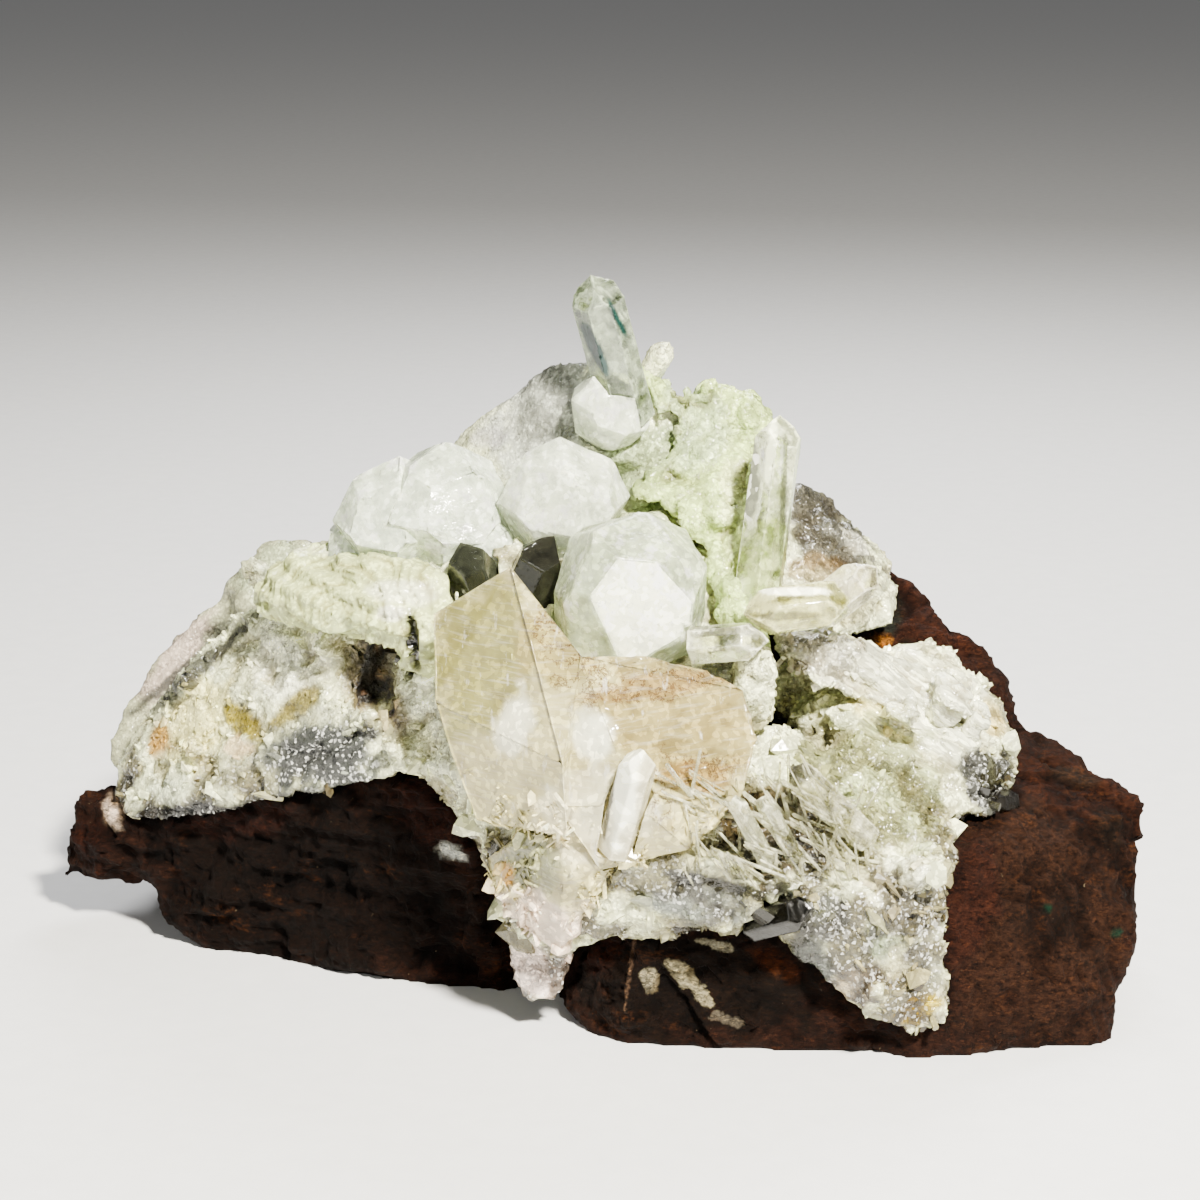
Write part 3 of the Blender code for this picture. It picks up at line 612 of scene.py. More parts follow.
def mineral(name, ior, coarse, fine, relief, vary, crevice_shade=0.0, dress=None, fibre=None):
    """Coarse and fine are the grain sizes and relief their depth in mm. Vary is how much the colour
    changes from grain to grain, crevice_shade how dark the threads between them are painted, as
    shade in the crevices. A share of the grains is painted brighter, as glints. Dress may add veins.
    Fibre is a direction along which the grains are drawn out."""
    made, tree, shader = material(name)
    where = in_mm(tree)
    if fibre is not None:
        where = drawn_out(tree, where, fibre, 7.0)
    clear, rough, pepper = parts(tree, stored(tree, "look"))
    large, large_colour = grains(tree, where, coarse)
    small, small_colour = grains(tree, where, fine)
    luck = parts(tree, large_colour)[0]
    dice, salt, gloss = parts(tree, small_colour)
    clouds = noise(tree, where, 2.6, 4)
    shade = ramp(tree, luck, 0, 1, 1 - vary, 1 + vary * 0.6)
    shade = sums(tree, shade, ramp(tree, dice, 0, 1, -0.5, 0.5), vary)
    shade = sums(tree, shade, ramp(tree, clouds, 0.3, 0.7, -0.5, 0.5), vary)
    colour = mix(tree, 1.0, stored(tree, "tint"), grey(tree, shade), "MULTIPLY")
    colour = mix(tree, 1.0, colour, YELLOWISH, "MULTIPLY")
    # Dark threads between the grains: painted shade in the crevices.
    if crevice_shade:
        crumbly = ramp(tree, noise(tree, where, 2.2, 4), 0.50, 0.62, 0.0, crevice_shade)
        crumbly = times(tree, crumbly, ramp(tree, clear, 0.3, 0.5, 1.0, 0.0))
        crumbly = times(tree, crumbly, threads(tree, where, coarse * 1.3, 0.035))
        colour = mix(tree, crumbly, colour, (0.03, 0.024, 0.014))
    # A share of the grains is painted brighter: painted glints.
    bright = mix(tree, 1.0, colour, (1.45, 1.45, 1.45), "MULTIPLY")
    colour = mix(tree, ramp(tree, dice, 0.72, 0.76), colour, bright)
    if dress:
        colour = dress(tree, where, colour)
    speckled = mix(tree, ramp(tree, salt, 0.78, 1.0), (0.020, 0.021, 0.020), (0.90, 0.90, 0.84))
    tree.links.new(mix(tree, pepper, colour, speckled), shader.inputs["Base Color"])
    rough = sums(tree, rough, ramp(tree, gloss, 0, 1, -0.5, 0.5), 0.15)
    tree.links.new(ramp(tree, rough, 0.02, 1.0, 0.02, 1.0), shader.inputs["Roughness"])
    milk = ramp(tree, clouds, 0.35, 0.65, 1.15, 0.6)
    tree.links.new(ramp(tree, times(tree, clear, milk), 0.0, 1.0), shader.inputs["Transmission Weight"])
    shader.inputs["IOR"].default_value = ior
    if relief:
        height = sums(tree, large, small, 0.9)
        bumps(tree, shader, sums(tree, height, noise(tree, where, 0.3, 1), 0.35), relief)
    return made


# %% [markdown]
# ## Small crystals
# Close up, the crust is a crowd of small pointed crystals and thin blades. They are made as
# six-sided prisms with a point, stood on the skin at random with a fixed seed, and joined in one
# mesh. Each takes the colour of the spot that it stands on.


# %% Small crystals
CORNERS = 13


def prisms(name, slot, feet, axes, widths, lengths, flatness, tints, looks, spin, finish):
    """One mesh of closed six-sided prisms with points. Each has a foot and an axis."""
    many = len(feet)
    angle = np.arange(6) * math.pi / 3
    ring = np.stack([np.cos(angle), np.sin(angle)], 1)
    axes = axes / np.linalg.norm(axes, axis=1, keepdims=True)
    helper = np.where(np.abs(axes[:, 2:]) < 0.9, [[0.0, 0.0, 1.0]], [[1.0, 0.0, 0.0]])
    first = np.cross(helper, axes)
    first /= np.linalg.norm(first, axis=1, keepdims=True)
    second = np.cross(axes, first)
    turned = first * np.cos(spin)[:, None] + second * np.sin(spin)[:, None]
    second = np.cross(axes, turned)
    corners = np.zeros((many, CORNERS, 3))
    flat_ring = ring[None] * np.stack([widths, widths * flatness], 1)[:, None]
    around = np.einsum("nij,njk->nik", flat_ring, np.stack([turned, second], 1)) / 2
    corners[:, 0:6] = feet[:, None] + around
    corners[:, 6:12] = feet[:, None] + around * 0.96 + (axes * (lengths - widths * 0.6)[:, None])[:, None]
    corners[:, 12] = feet + axes * lengths[:, None]
    corners[:, 6:12] += axes[:, None] * (widths[:, None] * 0.25 * np.sin(angle + 1.0))[:, :, None]
    corners = np.clip(corners, np.array(cad_box[0]) / MM, np.array(cad_box[1]) / MM)
    faces = [tuple(range(5, -1, -1))]
    for i in range(6):
        j = (i + 1) % 6
        faces += [(i, j, 6 + j, 6 + i), (6 + i, 6 + j, 12)]
    mesh = bpy.data.meshes.new(name)
    every = [[i + CORNERS * k for i in face] for k in range(many) for face in faces]
    mesh.from_pydata((corners.reshape(-1, 3) * MM).tolist(), [], every)
    made = shown(name, mesh, slot)
    store(made, "tint", np.repeat(tints, CORNERS, axis=0))
    store(made, "look", np.repeat(looks, CORNERS, axis=0))
    mesh.materials.append(finish)
    print(count(made))
    return made


def sprinkle(name, slot, host, many, share, seed, finish, width, long=(1.0, 2.2), upright=1.0):
    """Stands many small crystals on the host where the share is high, which is one per face."""
    luck = np.random.default_rng(seed)
    polygons = host.data.polygons
    centres = np.empty(len(polygons) * 3)
    facing = np.empty(len(polygons) * 3)
    area = np.empty(len(polygons))
    first = np.empty(len(polygons), np.int32)
    polygons.foreach_get("center", centres)
    polygons.foreach_get("normal", facing)
    polygons.foreach_get("area", area)
    polygons.foreach_get("loop_start", first)
    corner = np.empty(len(host.data.loops), np.int32)
    host.data.loops.foreach_get("vertex_index", corner)
    centres = centres.reshape(-1, 3) / MM
    weight = area * share(centres)
    chosen = luck.choice(len(polygons), many, replace=False, p=weight / weight.sum())
    colour = np.empty(len(host.data.vertices) * 4)
    host.data.color_attributes["tint"].data.foreach_get("color", colour)
    tints = colour.reshape(-1, 4)[corner[first[chosen]], :3] * luck.uniform(0.6, 1.35, (many, 1))
    axes = facing.reshape(-1, 3)[chosen] * upright + luck.normal(0, 0.55, (many, 3))
    widths = luck.uniform(*width, many) * luck.uniform(0.6, 1.0, many)
    lengths = widths * luck.uniform(*long, many)
    feet = centres[chosen] - axes / np.linalg.norm(axes, axis=1, keepdims=True) * lengths[:, None] * 0.7
    looks = np.stack([luck.uniform(0.0, 0.15, many), luck.uniform(0.04, 0.3, many), np.zeros(many)], 1)
    flatness = luck.uniform(0.25, 0.9, many)
    spin = luck.uniform(0, math.pi, many)
    tints = np.clip(tints, 0, 0.92)
    return prisms(name, slot, feet, axes, widths, lengths, flatness, tints, looks, spin, finish)


# %% [markdown]
# ## Pale prehnite crust
# Prehnite lined the cavity with a sugary coat. Its colour runs from white to sage green, with ochre
# and olive stains where iron seeped in. On the right the blades grew as fibres that spread from one
# point, so their ridges run along one line, except round a dark pitted patch. Four small lumps
# fill the gap behind the green strip.

# %% Crust shape
CRUST = ["prehnite_crust"]
FIBRES = (34, -10.5, 9, 6, 30, CRUST)
SLIT = (-19, -4.5, 0.7, 3.8, -4, CRUST)
DARK_POCKET = (-23, -7.5, 2.6, 4.4, 10, CRUST)
BROWN_RIBS = (21, -9.3, 4.2, 2.6, 22)
PITTED = (39.4, -18.6, 3.6, 4.6, 10, CRUST)
SMOOTH_CREST = (-32, 3.2, 7, 3.2, 0, CRUST)
GRANULAR = (-28.3, -15.8, 6.6, 3.6, -12, CRUST)
gap_lumps = [
    (spot(15.2, -8.0) + (0, -1.0, 0), (2.2, 2.6, 4.6)),
    (spot(12.0, -7.2) + (0, -1.0, 0), (2.4, 1.8, 2.0)),
    (spot(20.5, -9.2) + (0, -1.0, 0), (4.4, 3.0, 3.6)),
    (spot(23.0, -12.0) + (0, -0.6, 0), (3.6, 2.6, 3.2)),
]


def fibre_share(where):
    """Where the blades grew as fibres: on the right, except round the pitted patch."""
    return patch(where, *FIBRES) * (1 - patch(where, *PITTED))


crust = copy_of("crust", "pale_prehnite", CRUST, gap_lumps)
skin(crust, 0.45)
points = places(crust)
fibres = fibre_share(points)
slope = drawn(points, spot(-10, 2, *CRUST), spot(-40, -18, *CRUST), 2.2)
height = chips(points, 4.2, 0.30, 11) + chips(slope, 1.4, 0.45, 12) + 0.14 * cloud(points, 0.8, 13, 2)
height *= 1 - 0.75 * smooth(points[:, 2], 44, 50)
ribs = patch(points, *BROWN_RIBS)
height = height * (1 - ribs) + ribs * 0.3 * np.sin((points @ np.array([0.8, 0.0, 0.6])) / 1.1 * 2 * np.pi)
fibre_start, fibre_end = spot(27, -5.5, *CRUST), spot(40.5, -15.5, *CRUST)
ridges = np.abs(cloud(drawn(points, fibre_start, fibre_end, 9), 1.3, 14, 2))
height = height * (1 - fibres * 0.8) + fibres * (1.5 * ridges - 0.3)
height -= 1.3 * patch(points, *PITTED) * smooth(cloud(points, 1.6, 19, 3), -0.1, 0.3)
height -= 1.4 * patch(points, *SLIT, soft=0.3) + 1.0 * patch(points, *DARK_POCKET, ragged=0.6)
push(crust, height)
print(count(crust))

# %% Crust colour
CRUST_STAINS = {
    "white sugar": (-31, -5, 6, 5, 0, (0.98, 0.98, 0.94), 0.95),
    "white above the rock": (-42, -19.5, 9, 2.2, -12, (0.86, 0.88, 0.82), 0.8),
    "yellow-white": (-40.5, -12.5, 5.5, 4, -35, (0.98, 0.95, 0.72), 0.9),
    "olive streak": (-36, -12.2, 3.8, 1.3, 42, (0.52, 0.47, 0.08), 0.95),
    "olive streak to the right": (-30.4, -10.6, 3.8, 1.2, -35, (0.48, 0.43, 0.10), 0.9),
    "ochre": (-44.3, -14, 1.6, 1.8, 0, (0.64, 0.46, 0.12), 0.9),
    "peach": (-36.5, -14.8, 2, 1, 0, (0.90, 0.76, 0.62), 0.7),
    "crumbly seam over the rock": (-41, -21.4, 7.5, 1.0, -4, (0.13, 0.12, 0.10), 1.0),
    "crumbly seam by the grains": (-30, -19.6, 7, 0.9, -14, (0.12, 0.12, 0.12), 0.9),
    "back-left crest": (-32, 3.2, 7, 3.2, 0, (0.76, 0.79, 0.73), 0.8),
    "dark line below the crest": (-41.5, -7.5, 8.5, 1.0, -39, (0.20, 0.20, 0.19), 0.95),
    "dark line up to the mound": (-33, 0, 4.5, 0.8, -43, (0.22, 0.22, 0.20), 0.9),
    "brown round the pocket": (-23, -7.2, 2.8, 4.4, 12, (0.50, 0.42, 0.30), 0.8),
    "dark granular patch": (-28.3, -15.6, 7, 3.6, -12, (0.42, 0.44, 0.46), 0.95),
    "brown below the pocket": (-21, -11.5, 1.6, 2.6, -20, (0.42, 0.34, 0.22), 0.8),
    "white rim of the slit": (-20.8, -1.2, 1.7, 0.8, 0, (0.98, 0.98, 0.96), 1.0),
    # The black of the slit is painted shade in its groove.
    "black slit": (-19, -4.5, 0.8, 3.9, -4, (0.03, 0.03, 0.03), 1.0),
    "white right of the slit": (-16.6, -9, 2.4, 4.4, 0, (0.93, 0.94, 0.90), 0.8),
    "pale middle": (-14, -16, 4, 4, 0, (0.88, 0.89, 0.84), 0.8),
    "grey-lilac band": (23, -5.5, 7, 2.6, 8, (0.78, 0.76, 0.76), 0.8),
    "ribbed brown pocket": (21, -9.3, 4.4, 2.6, 22, (0.40, 0.30, 0.18), 0.95),
    "white fibres": (34, -10, 9, 5.4, 30, (1.0, 1.0, 0.96), 1.0),
    "cream streak": (28.5, -12.2, 3.8, 1.2, 32, (0.93, 0.88, 0.62), 0.85),
    "cream edge": (39.2, -12.2, 1.8, 2, 30, (0.92, 0.84, 0.60), 0.75),
    "pale green glassy": (28, -19, 8, 7, 0, (0.72, 0.76, 0.60), 0.85),
    "pitted green-grey": (39.4, -18.6, 4.0, 4.8, 10, (0.13, 0.125, 0.085), 0.97),
    "grey-green slab": (28.5, -33.5, 2.2, 2.4, 0, (0.46, 0.50, 0.44), 0.9),
    "white fibrous foot": (30.6, -28.4, 2.8, 4.4, 0, (0.90, 0.90, 0.86), 0.8),
    "peach-white lump": (25.8, -38.8, 2.6, 2.4, 0, (0.86, 0.79, 0.73), 0.9),
    "lemon stain": (32.2, -41.1, 2.2, 1.3, -20, (0.74, 0.64, 0.03), 1.0),
    "purple-grey lump": (17.5, -34, 2.6, 1.6, 0, (0.42, 0.38, 0.42), 0.85),
    "blue-grey lumps": (21.3, -36.5, 2.6, 3.0, 0, (0.30, 0.33, 0.37), 0.92),
    "blue-grey above the foot": (9.8, -30.5, 4.4, 2.4, 0, (0.48, 0.51, 0.54), 0.9),
    "dark crack above the foot": (12, -28.6, 6, 0.8, 12, (0.08, 0.07, 0.06), 0.95),
    "dark gaps in the needles": (17.6, -23, 6.6, 4.6, 20, (0.28, 0.22, 0.13), 0.95),
    "black crystals": (17.8, -30.5, 1.8, 1.4, 0, (0.04, 0.04, 0.04), 0.9),
    "green strip": (15.2, -7, 2.2, 6.5, 0, (0.83, 0.88, 0.62), 0.9),
    "grey-lavender crest": (-5.4, 19, 8, 8, 10, (0.76, 0.77, 0.80), 0.9),
    "lavender band": (-11.4, 16.3, 3, 0.9, 0, (0.72, 0.70, 0.78), 0.6),
    "pink-lilac foot": (-7, -37.5, 5, 3, 0, (0.90, 0.80, 0.86), 0.85),
    "grey between the lumps": (22, -33, 2.2, 5, 30, (0.13, 0.13, 0.12), 0.85),
    "pale green block by the tip": (6.5, 22.2, 2, 2, 0, (0.76, 0.82, 0.70), 0.8),
    "sage recess": (4.6, 13.4, 4, 5, 0, (0.54, 0.60, 0.47), 0.85),
    "lilac upper right": (23.0, 7.5, 7.5, 6.5, 35, (0.30, 0.29, 0.29), 0.97),
    "scalloped white": (25.7, 6, 2.8, 1.8, 0, (0.94, 0.93, 0.92), 0.8),
    "brownish cream": (22, 3.0, 4.4, 1.6, 0, (0.46, 0.38, 0.27), 0.8),
}
POCKET = {
    "black-brown top": (-22.8, -6.2, 1.3, 3.0, 12, (0.11, 0.075, 0.05), 1.0),
    "black-brown middle": (-23.2, -8.8, 2.3, 1.5, 0, (0.13, 0.085, 0.05), 1.0),
    "black-brown foot": (-21.0, -10.8, 0.9, 1.8, -10, (0.16, 0.11, 0.07), 1.0),
    "cream speck": (-22.2, -7.4, 0.45, 0.35, 0, (0.80, 0.68, 0.58), 0.9),
    "pink speck": (-23.9, -9.4, 0.4, 0.3, 0, (0.78, 0.60, 0.52), 0.9),
    "brown speck": (-22.6, -4.9, 0.3, 0.5, 0, (0.48, 0.36, 0.24), 0.9),
    "low cream speck": (-20.7, -10.4, 0.3, 0.4, 0, (0.76, 0.66, 0.52), 0.9),
}
CRUST_LOOKS = {
    "granular patch": (-28.3, -15.8, 6.6, 3.6, -12, (0.0, 0.30, 0.9)),
    "grains up to the pocket": (-24.5, -12.4, 2.4, 2.4, 30, (0.0, 0.30, 0.8)),
    "opaque white fibres": (34, -10, 8.5, 5, 30, (0.34, 0.22, 0.0)),
    "opaque white sugar": (-31, -5, 6, 5, 0, (0.1, 0.18, 0.0)),
    "grains at the foot": (12, -31, 6, 1.4, 8, (0.0, 0.3, 0.5)),
    "grains by the black crystals": (21.5, -31, 4, 2.4, 40, (0.0, 0.3, 0.6)),
    "granular edge": (33, -34, 1.8, 7.0, 0, (0.0, 0.30, 0.7)),
    "rough pocket": (-23, -7.5, 2.8, 4.6, 10, (0.0, 0.5, 0.04)),
    "grainy green-grey": (39.6, -18.8, 3.8, 4.6, 10, (0.0, 0.4, 0.6)),
    "clear band": (23, -5.5, 6.5, 2.4, 8, (0.6, 0.14, 0.0)),
    "clear green": (28, -19, 7, 6, 0, (0.5, 0.12, 0.0)),
    "clear crest": (-4.4, 20, 4, 6, 10, (0.65, 0.12, 0.0)),
    "clear upper right": (23.5, 8.5, 5, 3, 35, (0.55, 0.14, 0.0)),
    "clear back-left crest": (-32, 3.2, 7, 3.2, 0, (0.55, 0.14, 0.0)),
    "brown ribs": (21, -9.3, 4.2, 2.4, 22, (0.0, 0.5, 0.0)),
}
pale = mineral("pale_prehnite", ior=1.62, coarse=0.9, fine=0.30, relief=0.45, vary=0.35, crevice_shade=0.9)
sugar = mineral("sugar", ior=1.6, coarse=1.5, fine=0.4, relief=0.0, vary=0.15)
# Along the rock the crust gets painted contact shade and crumbly dirt.
joint = seam_shade(crust, "basalt_matrix", 1.8, 0.1)
open_side = smooth(-points[:, 1], -16, -4)
greyer = smooth(cloud(points, 4.5, 17, 3), -0.05, 0.35) * smooth(-points[:, 2], -50, -44)
greyer *= (0.3 + 0.7 * smooth(points[:, 0], -22, -14)) * (1 - fibres)
dirty = smooth(-points[:, 2], -26, -16) * smooth(cloud(points, 3.0, 18, 3), -0.05, 0.35)
# The relief is painted shade in the hollows and at the joint, times grey patches and dirt low down.
relief = painted_hollow_shade(height, 0.5) * (1 - (1 - joint) * open_side) * (1 - 0.5 * greyer) * (1 - 0.72 * dirty)
# Darker in the grooves between the fibre ridges: painted shade.
relief *= 1 - 0.4 * fibres * smooth(-ridges, -0.3, -0.05)
paint(crust, (0.89, 0.90, 0.80), CRUST_STAINS, CRUST, relief, POCKET)
grainy = 0.03 + 0.5 * (1 - joint) * open_side + 0.6 * dirty
look(crust, 0.04 + 0.24 * greyer, 0.12, grainy, CRUST_LOOKS, CRUST)
fibre = (fibre_end - fibre_start) / np.linalg.norm(fibre_end - fibre_start)
fibrous = mineral("fibrous_prehnite", 1.62, 0.8, 0.30, relief=0.60, vary=0.3, crevice_shade=0.3, fibre=fibre)
crust.data.materials.append(pale)
crust.data.materials.append(fibrous)
centres = np.empty(len(crust.data.polygons) * 3)
crust.data.polygons.foreach_get("center", centres)
in_fibres = fibre_share(centres.reshape(-1, 3) / MM) > 0.5
crust.data.polygons.foreach_set("material_index", in_fibres.astype(np.int32))


def crust_share(where):
    """Where small crystals stand on the crust: in clusters, on the side that the cavity faced."""
    clusters = smooth(cloud(where, 5.0, 15, 2), -0.3, 0.4)
    open_side = smooth(-where[:, 1], -16, -4) * smooth(-where[:, 2], -44, -34)
    plain = 1 - patch(where, *DARK_POCKET) - patch(where, *SMOOTH_CREST) - 0.9 * fibre_share(where)
    plain -= 0.9 * patch(where, *GRANULAR)
    return (clusters + 0.1) * open_side * np.clip(plain, 0, 1) + 0.004


def block_share(where):
    """Where larger blocky crystals stand: the lower middle and right, and the foot of the left slope."""
    low = smooth(-where[:, 2], -33, -27)
    return low * smooth(-where[:, 1], -4, 2) * (smooth(cloud(where, 7.0, 16, 2), -0.2, 0.4) + 0.1)


sprinkle("crust_sugar", "pale_prehnite", crust, 3000, crust_share, 5, sugar, (0.35, 1.1), (1.2, 2.6))
sprinkle("crust_blocks", "pale_prehnite", crust, 150, block_share, 6, sugar, (1.6, 3.6), (0.9, 1.7))

# %% [markdown]
# ## Back crust
# Behind the left slope a second layer shows, smooth and scalloped, with a pinkish tint. The dark
# line below it is the crumbly joint between the two.

# %% Back crust
BACK = ["prehnite_back"]
BACK_STAINS = {
    "sage crest": (-31.5, 3, 6, 3.2, 0, (0.70, 0.73, 0.64), 0.9),
    "pinkish crest": (-43, -6.5, 6, 1.8, -55, (0.78, 0.70, 0.70), 0.9),
    "crumbly joint": (-42.5, -7.6, 8.5, 0.8, -39, (0.20, 0.20, 0.19), 0.9),
}
back = copy_of("back_crust", "pale_prehnite", BACK)
skin(back, 0.5)
points = places(back)
push(back, chips(points, 2.4, 0.2, 21) + 0.35 * cloud(points, 3.0, 22, 2))
paint(back, (0.68, 0.68, 0.60), BACK_STAINS, BACK)
look(back, 0.15, 0.18)
back.data.materials.append(pale)
print(count(back))

# %% [markdown]
# ## Layered mound
# This prehnite grew as a fan of thin layers, each a little lower than the last. Their edges show as
# arcs round one point, so the height is a sawtooth of the distance from it, bent by noise so that
# no two layers are alike.

# %% Mound
MOUND = ["prehnite_mound"]
MOUND_STAINS = {
    "white right end": (-20, 0.8, 3.4, 1.4, 0, (0.96, 0.97, 0.92), 0.8),
    # The white top edge is white prehnite, brightened further as a painted highlight on the lit top.
    "white top edge": (-25.5, 4.8, 6, 0.8, 0, (0.97, 0.97, 0.94), 0.9),
    "greener foot": (-27, -2.5, 5, 1.4, 0, (0.76, 0.80, 0.62), 0.6),
    "white rim of the slit": (-20.8, -1.2, 1.7, 0.8, 0, (0.98, 0.98, 0.96), 1.0),
    # The black of the slit is painted shade in its groove.
    "black slit": (-19, -4.2, 0.6, 3.4, -4, (0.03, 0.03, 0.03), 1.0),
}
mound = copy_of("mound", "pale_prehnite", MOUND)
skin(mound, 0.33)
points = places(mound)
away = np.linalg.norm((points - spot(-27, -1.5, *MOUND)) * (1, 0.6, 1.3), axis=1)
away += 1.3 * cloud(points, 6.0, 31, 2)
coarse_layer = away / 2.3 % 1
fine_layer = away / 0.85 % 1
height = 0.30 * (1 - coarse_layer) ** 2 + 0.26 * (1 - fine_layer) + chips(points, 2.6, 0.10, 32) - 0.25
height -= 1.2 * patch(points, -19, -4.2, 0.6, 3.4, -4, MOUND, soft=0.3)
push(mound, height)
# Painted shade in the hollows between the layers.
paint(mound, (0.83, 0.86, 0.66), MOUND_STAINS, MOUND, painted_hollow_shade(height, 0.5))
look(mound, 0.2, 0.16)
mound.data.materials.append(mineral("layered_prehnite", 1.62, coarse=2.0, fine=0.35, relief=0.16, vary=0.12))
print(count(mound))

# %% [markdown]
# ## Green prehnite
# Prehnite is known for growing in round heads like a bunch of grapes, each one a ball of blades.
# Each seed of the facet noise gets a dome, in two sizes, and faint facets cut across them. Four
# lumps on the upper edge stand up as small pinnacles.

# %% Green prehnite
PEAK = ["prehnite_peak"]
PEAK_STAINS = {
    "bright yellow-green": (10, 5.5, 4.8, 6.4, 0, (0.82, 0.92, 0.44), 0.9),
    "grey-green above": (9, 17, 4, 5, 0, (0.70, 0.76, 0.64), 0.8),
    "dark sage recess": (3.5, 12, 2.8, 5.2, 0, (0.40, 0.46, 0.36), 0.85),
    "pale edge by the prism": (13.5, 10, 1.4, 6, 0, (0.90, 0.92, 0.74), 0.6),
}
pinnacles = [
    (spot(11.2, 20.0, *PEAK) + (0, 0.6, 0.4), (0.9, 0.9, 1.6)),
    (spot(13.4, 19.4, *PEAK) + (0, 0.6, 0.6), (0.8, 0.8, 1.5)),
    (spot(8.9, 19.0, *PEAK) + (0, 0.6, 0.6), (1.0, 1.0, 1.6)),
    (spot(15.0, 17.6, *PEAK) + (0, 0.6, 0.6), (0.9, 0.9, 1.3)),
]
peak = copy_of("green_peak", "green_prehnite", PEAK, pinnacles)
skin(peak, 0.33)
points = places(peak)
height = 1.9 * domes(points, 3.0, 41) + 0.8 * domes(points, 1.3, 42) - 1.7
height += chips(points, 0.9, 0.35, 43)
push(peak, height)
# Painted shade in the hollows between the domes.
paint(peak, (0.80, 0.88, 0.60), PEAK_STAINS, PEAK, painted_hollow_shade(height, 0.4))
look(peak, 0.25, 0.12)
green = mineral("green_prehnite", ior=1.63, coarse=0.8, fine=0.35, relief=0.50, vary=0.3, crevice_shade=0.4)
peak.data.materials.append(green)
print(count(peak))

# %% [markdown]
# ## Analcime
# Analcime grows as a ball with 24 kite-shaped faces. The crystals here are milky white and frosted
# by a thin etched skin, and a share of the light is scattered inside them. The one in front is
# glassy, with one bright white face towards the eye. A crystal's edge is crisp but never razor
# sharp, so each gets a narrow bevel, and the flat faces are a little uneven, with hairline cracks.
# The edges are also made frosted and painted white, as a painted highlight along them.

# %% Analcime
ANALCIMES = {
    "analcime_front": ((0.80, 0.84, 0.77), 0.55, 0.08, 0.25),
    "analcime_middle": ((0.94, 0.97, 0.95), 0.50, 0.22, 0.55),
    "analcime_left": ((0.92, 0.96, 0.94), 0.50, 0.22, 0.50),
    "analcime_top": ((0.94, 0.97, 0.95), 0.50, 0.22, 0.35),
}
FRONT_MIDDLE = Vector((4.24, -14.74, 41.8))
FRONT_FACING = Vector((0.10, -1.0, 0.04)).normalized()
FRONT_FACE = 5.85
MILK = 0.3
MILK_REACH = 1.2


def cut(thing, point, facing):
    """Cuts off what lies beyond a plane, and closes the cut with a flat face."""
    shape = bmesh.new()
    shape.from_mesh(thing.data)
    whole = [*shape.verts, *shape.edges, *shape.faces]
    made = bmesh.ops.bisect_plane(shape, geom=whole, plane_co=point * MM, plane_no=facing, clear_outer=True)
    rim = [part for part in made["geom_cut"] if isinstance(part, bmesh.types.BMEdge)]
    bmesh.ops.contextual_create(shape, geom=rim)
    shape.to_mesh(thing.data)
    shape.free()


def hairlines(tree, where, colour):
    """Milky veils, greyer clear spots and a few fine cracks."""
    veil = noise(tree, where, 2.4, 5, 0.75)
    colour = mix(tree, ramp(tree, veil, 0.47, 0.36, 0.0, 0.6), colour, (0.50, 0.54, 0.44))
    colour = mix(tree, ramp(tree, veil, 0.54, 0.62, 0.0, 0.9), colour, (0.97, 0.98, 0.92))
    lines = threads(tree, in_mm(tree, (1, 1, 0.6)), 2.6, 0.02)
    share = times(tree, lines, ramp(tree, noise(tree, where, 2.0), 0.52, 0.6, 0.0, 0.5))
    return mix(tree, share, colour, (0.26, 0.27, 0.25))


def widen_face(thing):
    """Moves the face that looks at the eye a little inwards, which makes it larger."""
    if thing.name == "crystal_front":
        cut(thing, FRONT_MIDDLE + FRONT_FACING * FRONT_FACE, FRONT_FACING)


milky = mineral("analcime", ior=1.49, coarse=2.2, fine=0.5, relief=0.12, vary=0.12, dress=hairlines)
inside = milky.node_tree.nodes["Principled BSDF"].inputs
inside["Subsurface Weight"].default_value = MILK
inside["Subsurface Radius"].default_value = [MILK_REACH] * 3
inside["Subsurface Scale"].default_value = MM
for name, (shade, clear, rough, bevel) in ANALCIMES.items():
    ball = crystal(name.replace("analcime", "crystal"), "analcime", name, bevel, 0.5, widen_face)
    points = places(ball)
    white = smooth(normals(ball) @ np.array(FRONT_FACING), 0.975, 0.99)[:, None] * (name == "analcime_front")
    # The rims are made frosted and painted white: a painted highlight along the edges.
    rim = edges(ball)[:, None] * 0.7
    push(ball, 0.09 * cloud(points, 2.2, 51, 3) + 0.05 * chips(points, 1.3, 1.0, 52))
    white = np.maximum(white, rim)
    mottle = 1 + 0.25 * cloud(points, 1.7, 53, 4)[:, None] * (1 - 0.5 * white)
    store(ball, "tint", (srgb(*shade) * (1 - white) + srgb(0.94, 0.95, 0.92) * white) * mottle)
    store(ball, "look", np.array([clear, rough, 0.0]) * (1 - white) + np.array([0.05, 0.4, 0.0]) * white)
    ball.data.materials.append(milky)
    print(count(ball))

# %% [markdown]
# ## Calcite
# Calcite splits along three directions, so a broken block shows flat planes with fine lines. This
# one is olive-beige to peach and half clear, with white veils inside and brown veins where iron
# crept along the cracks. Its lower part is a tangle of small bright crystals.

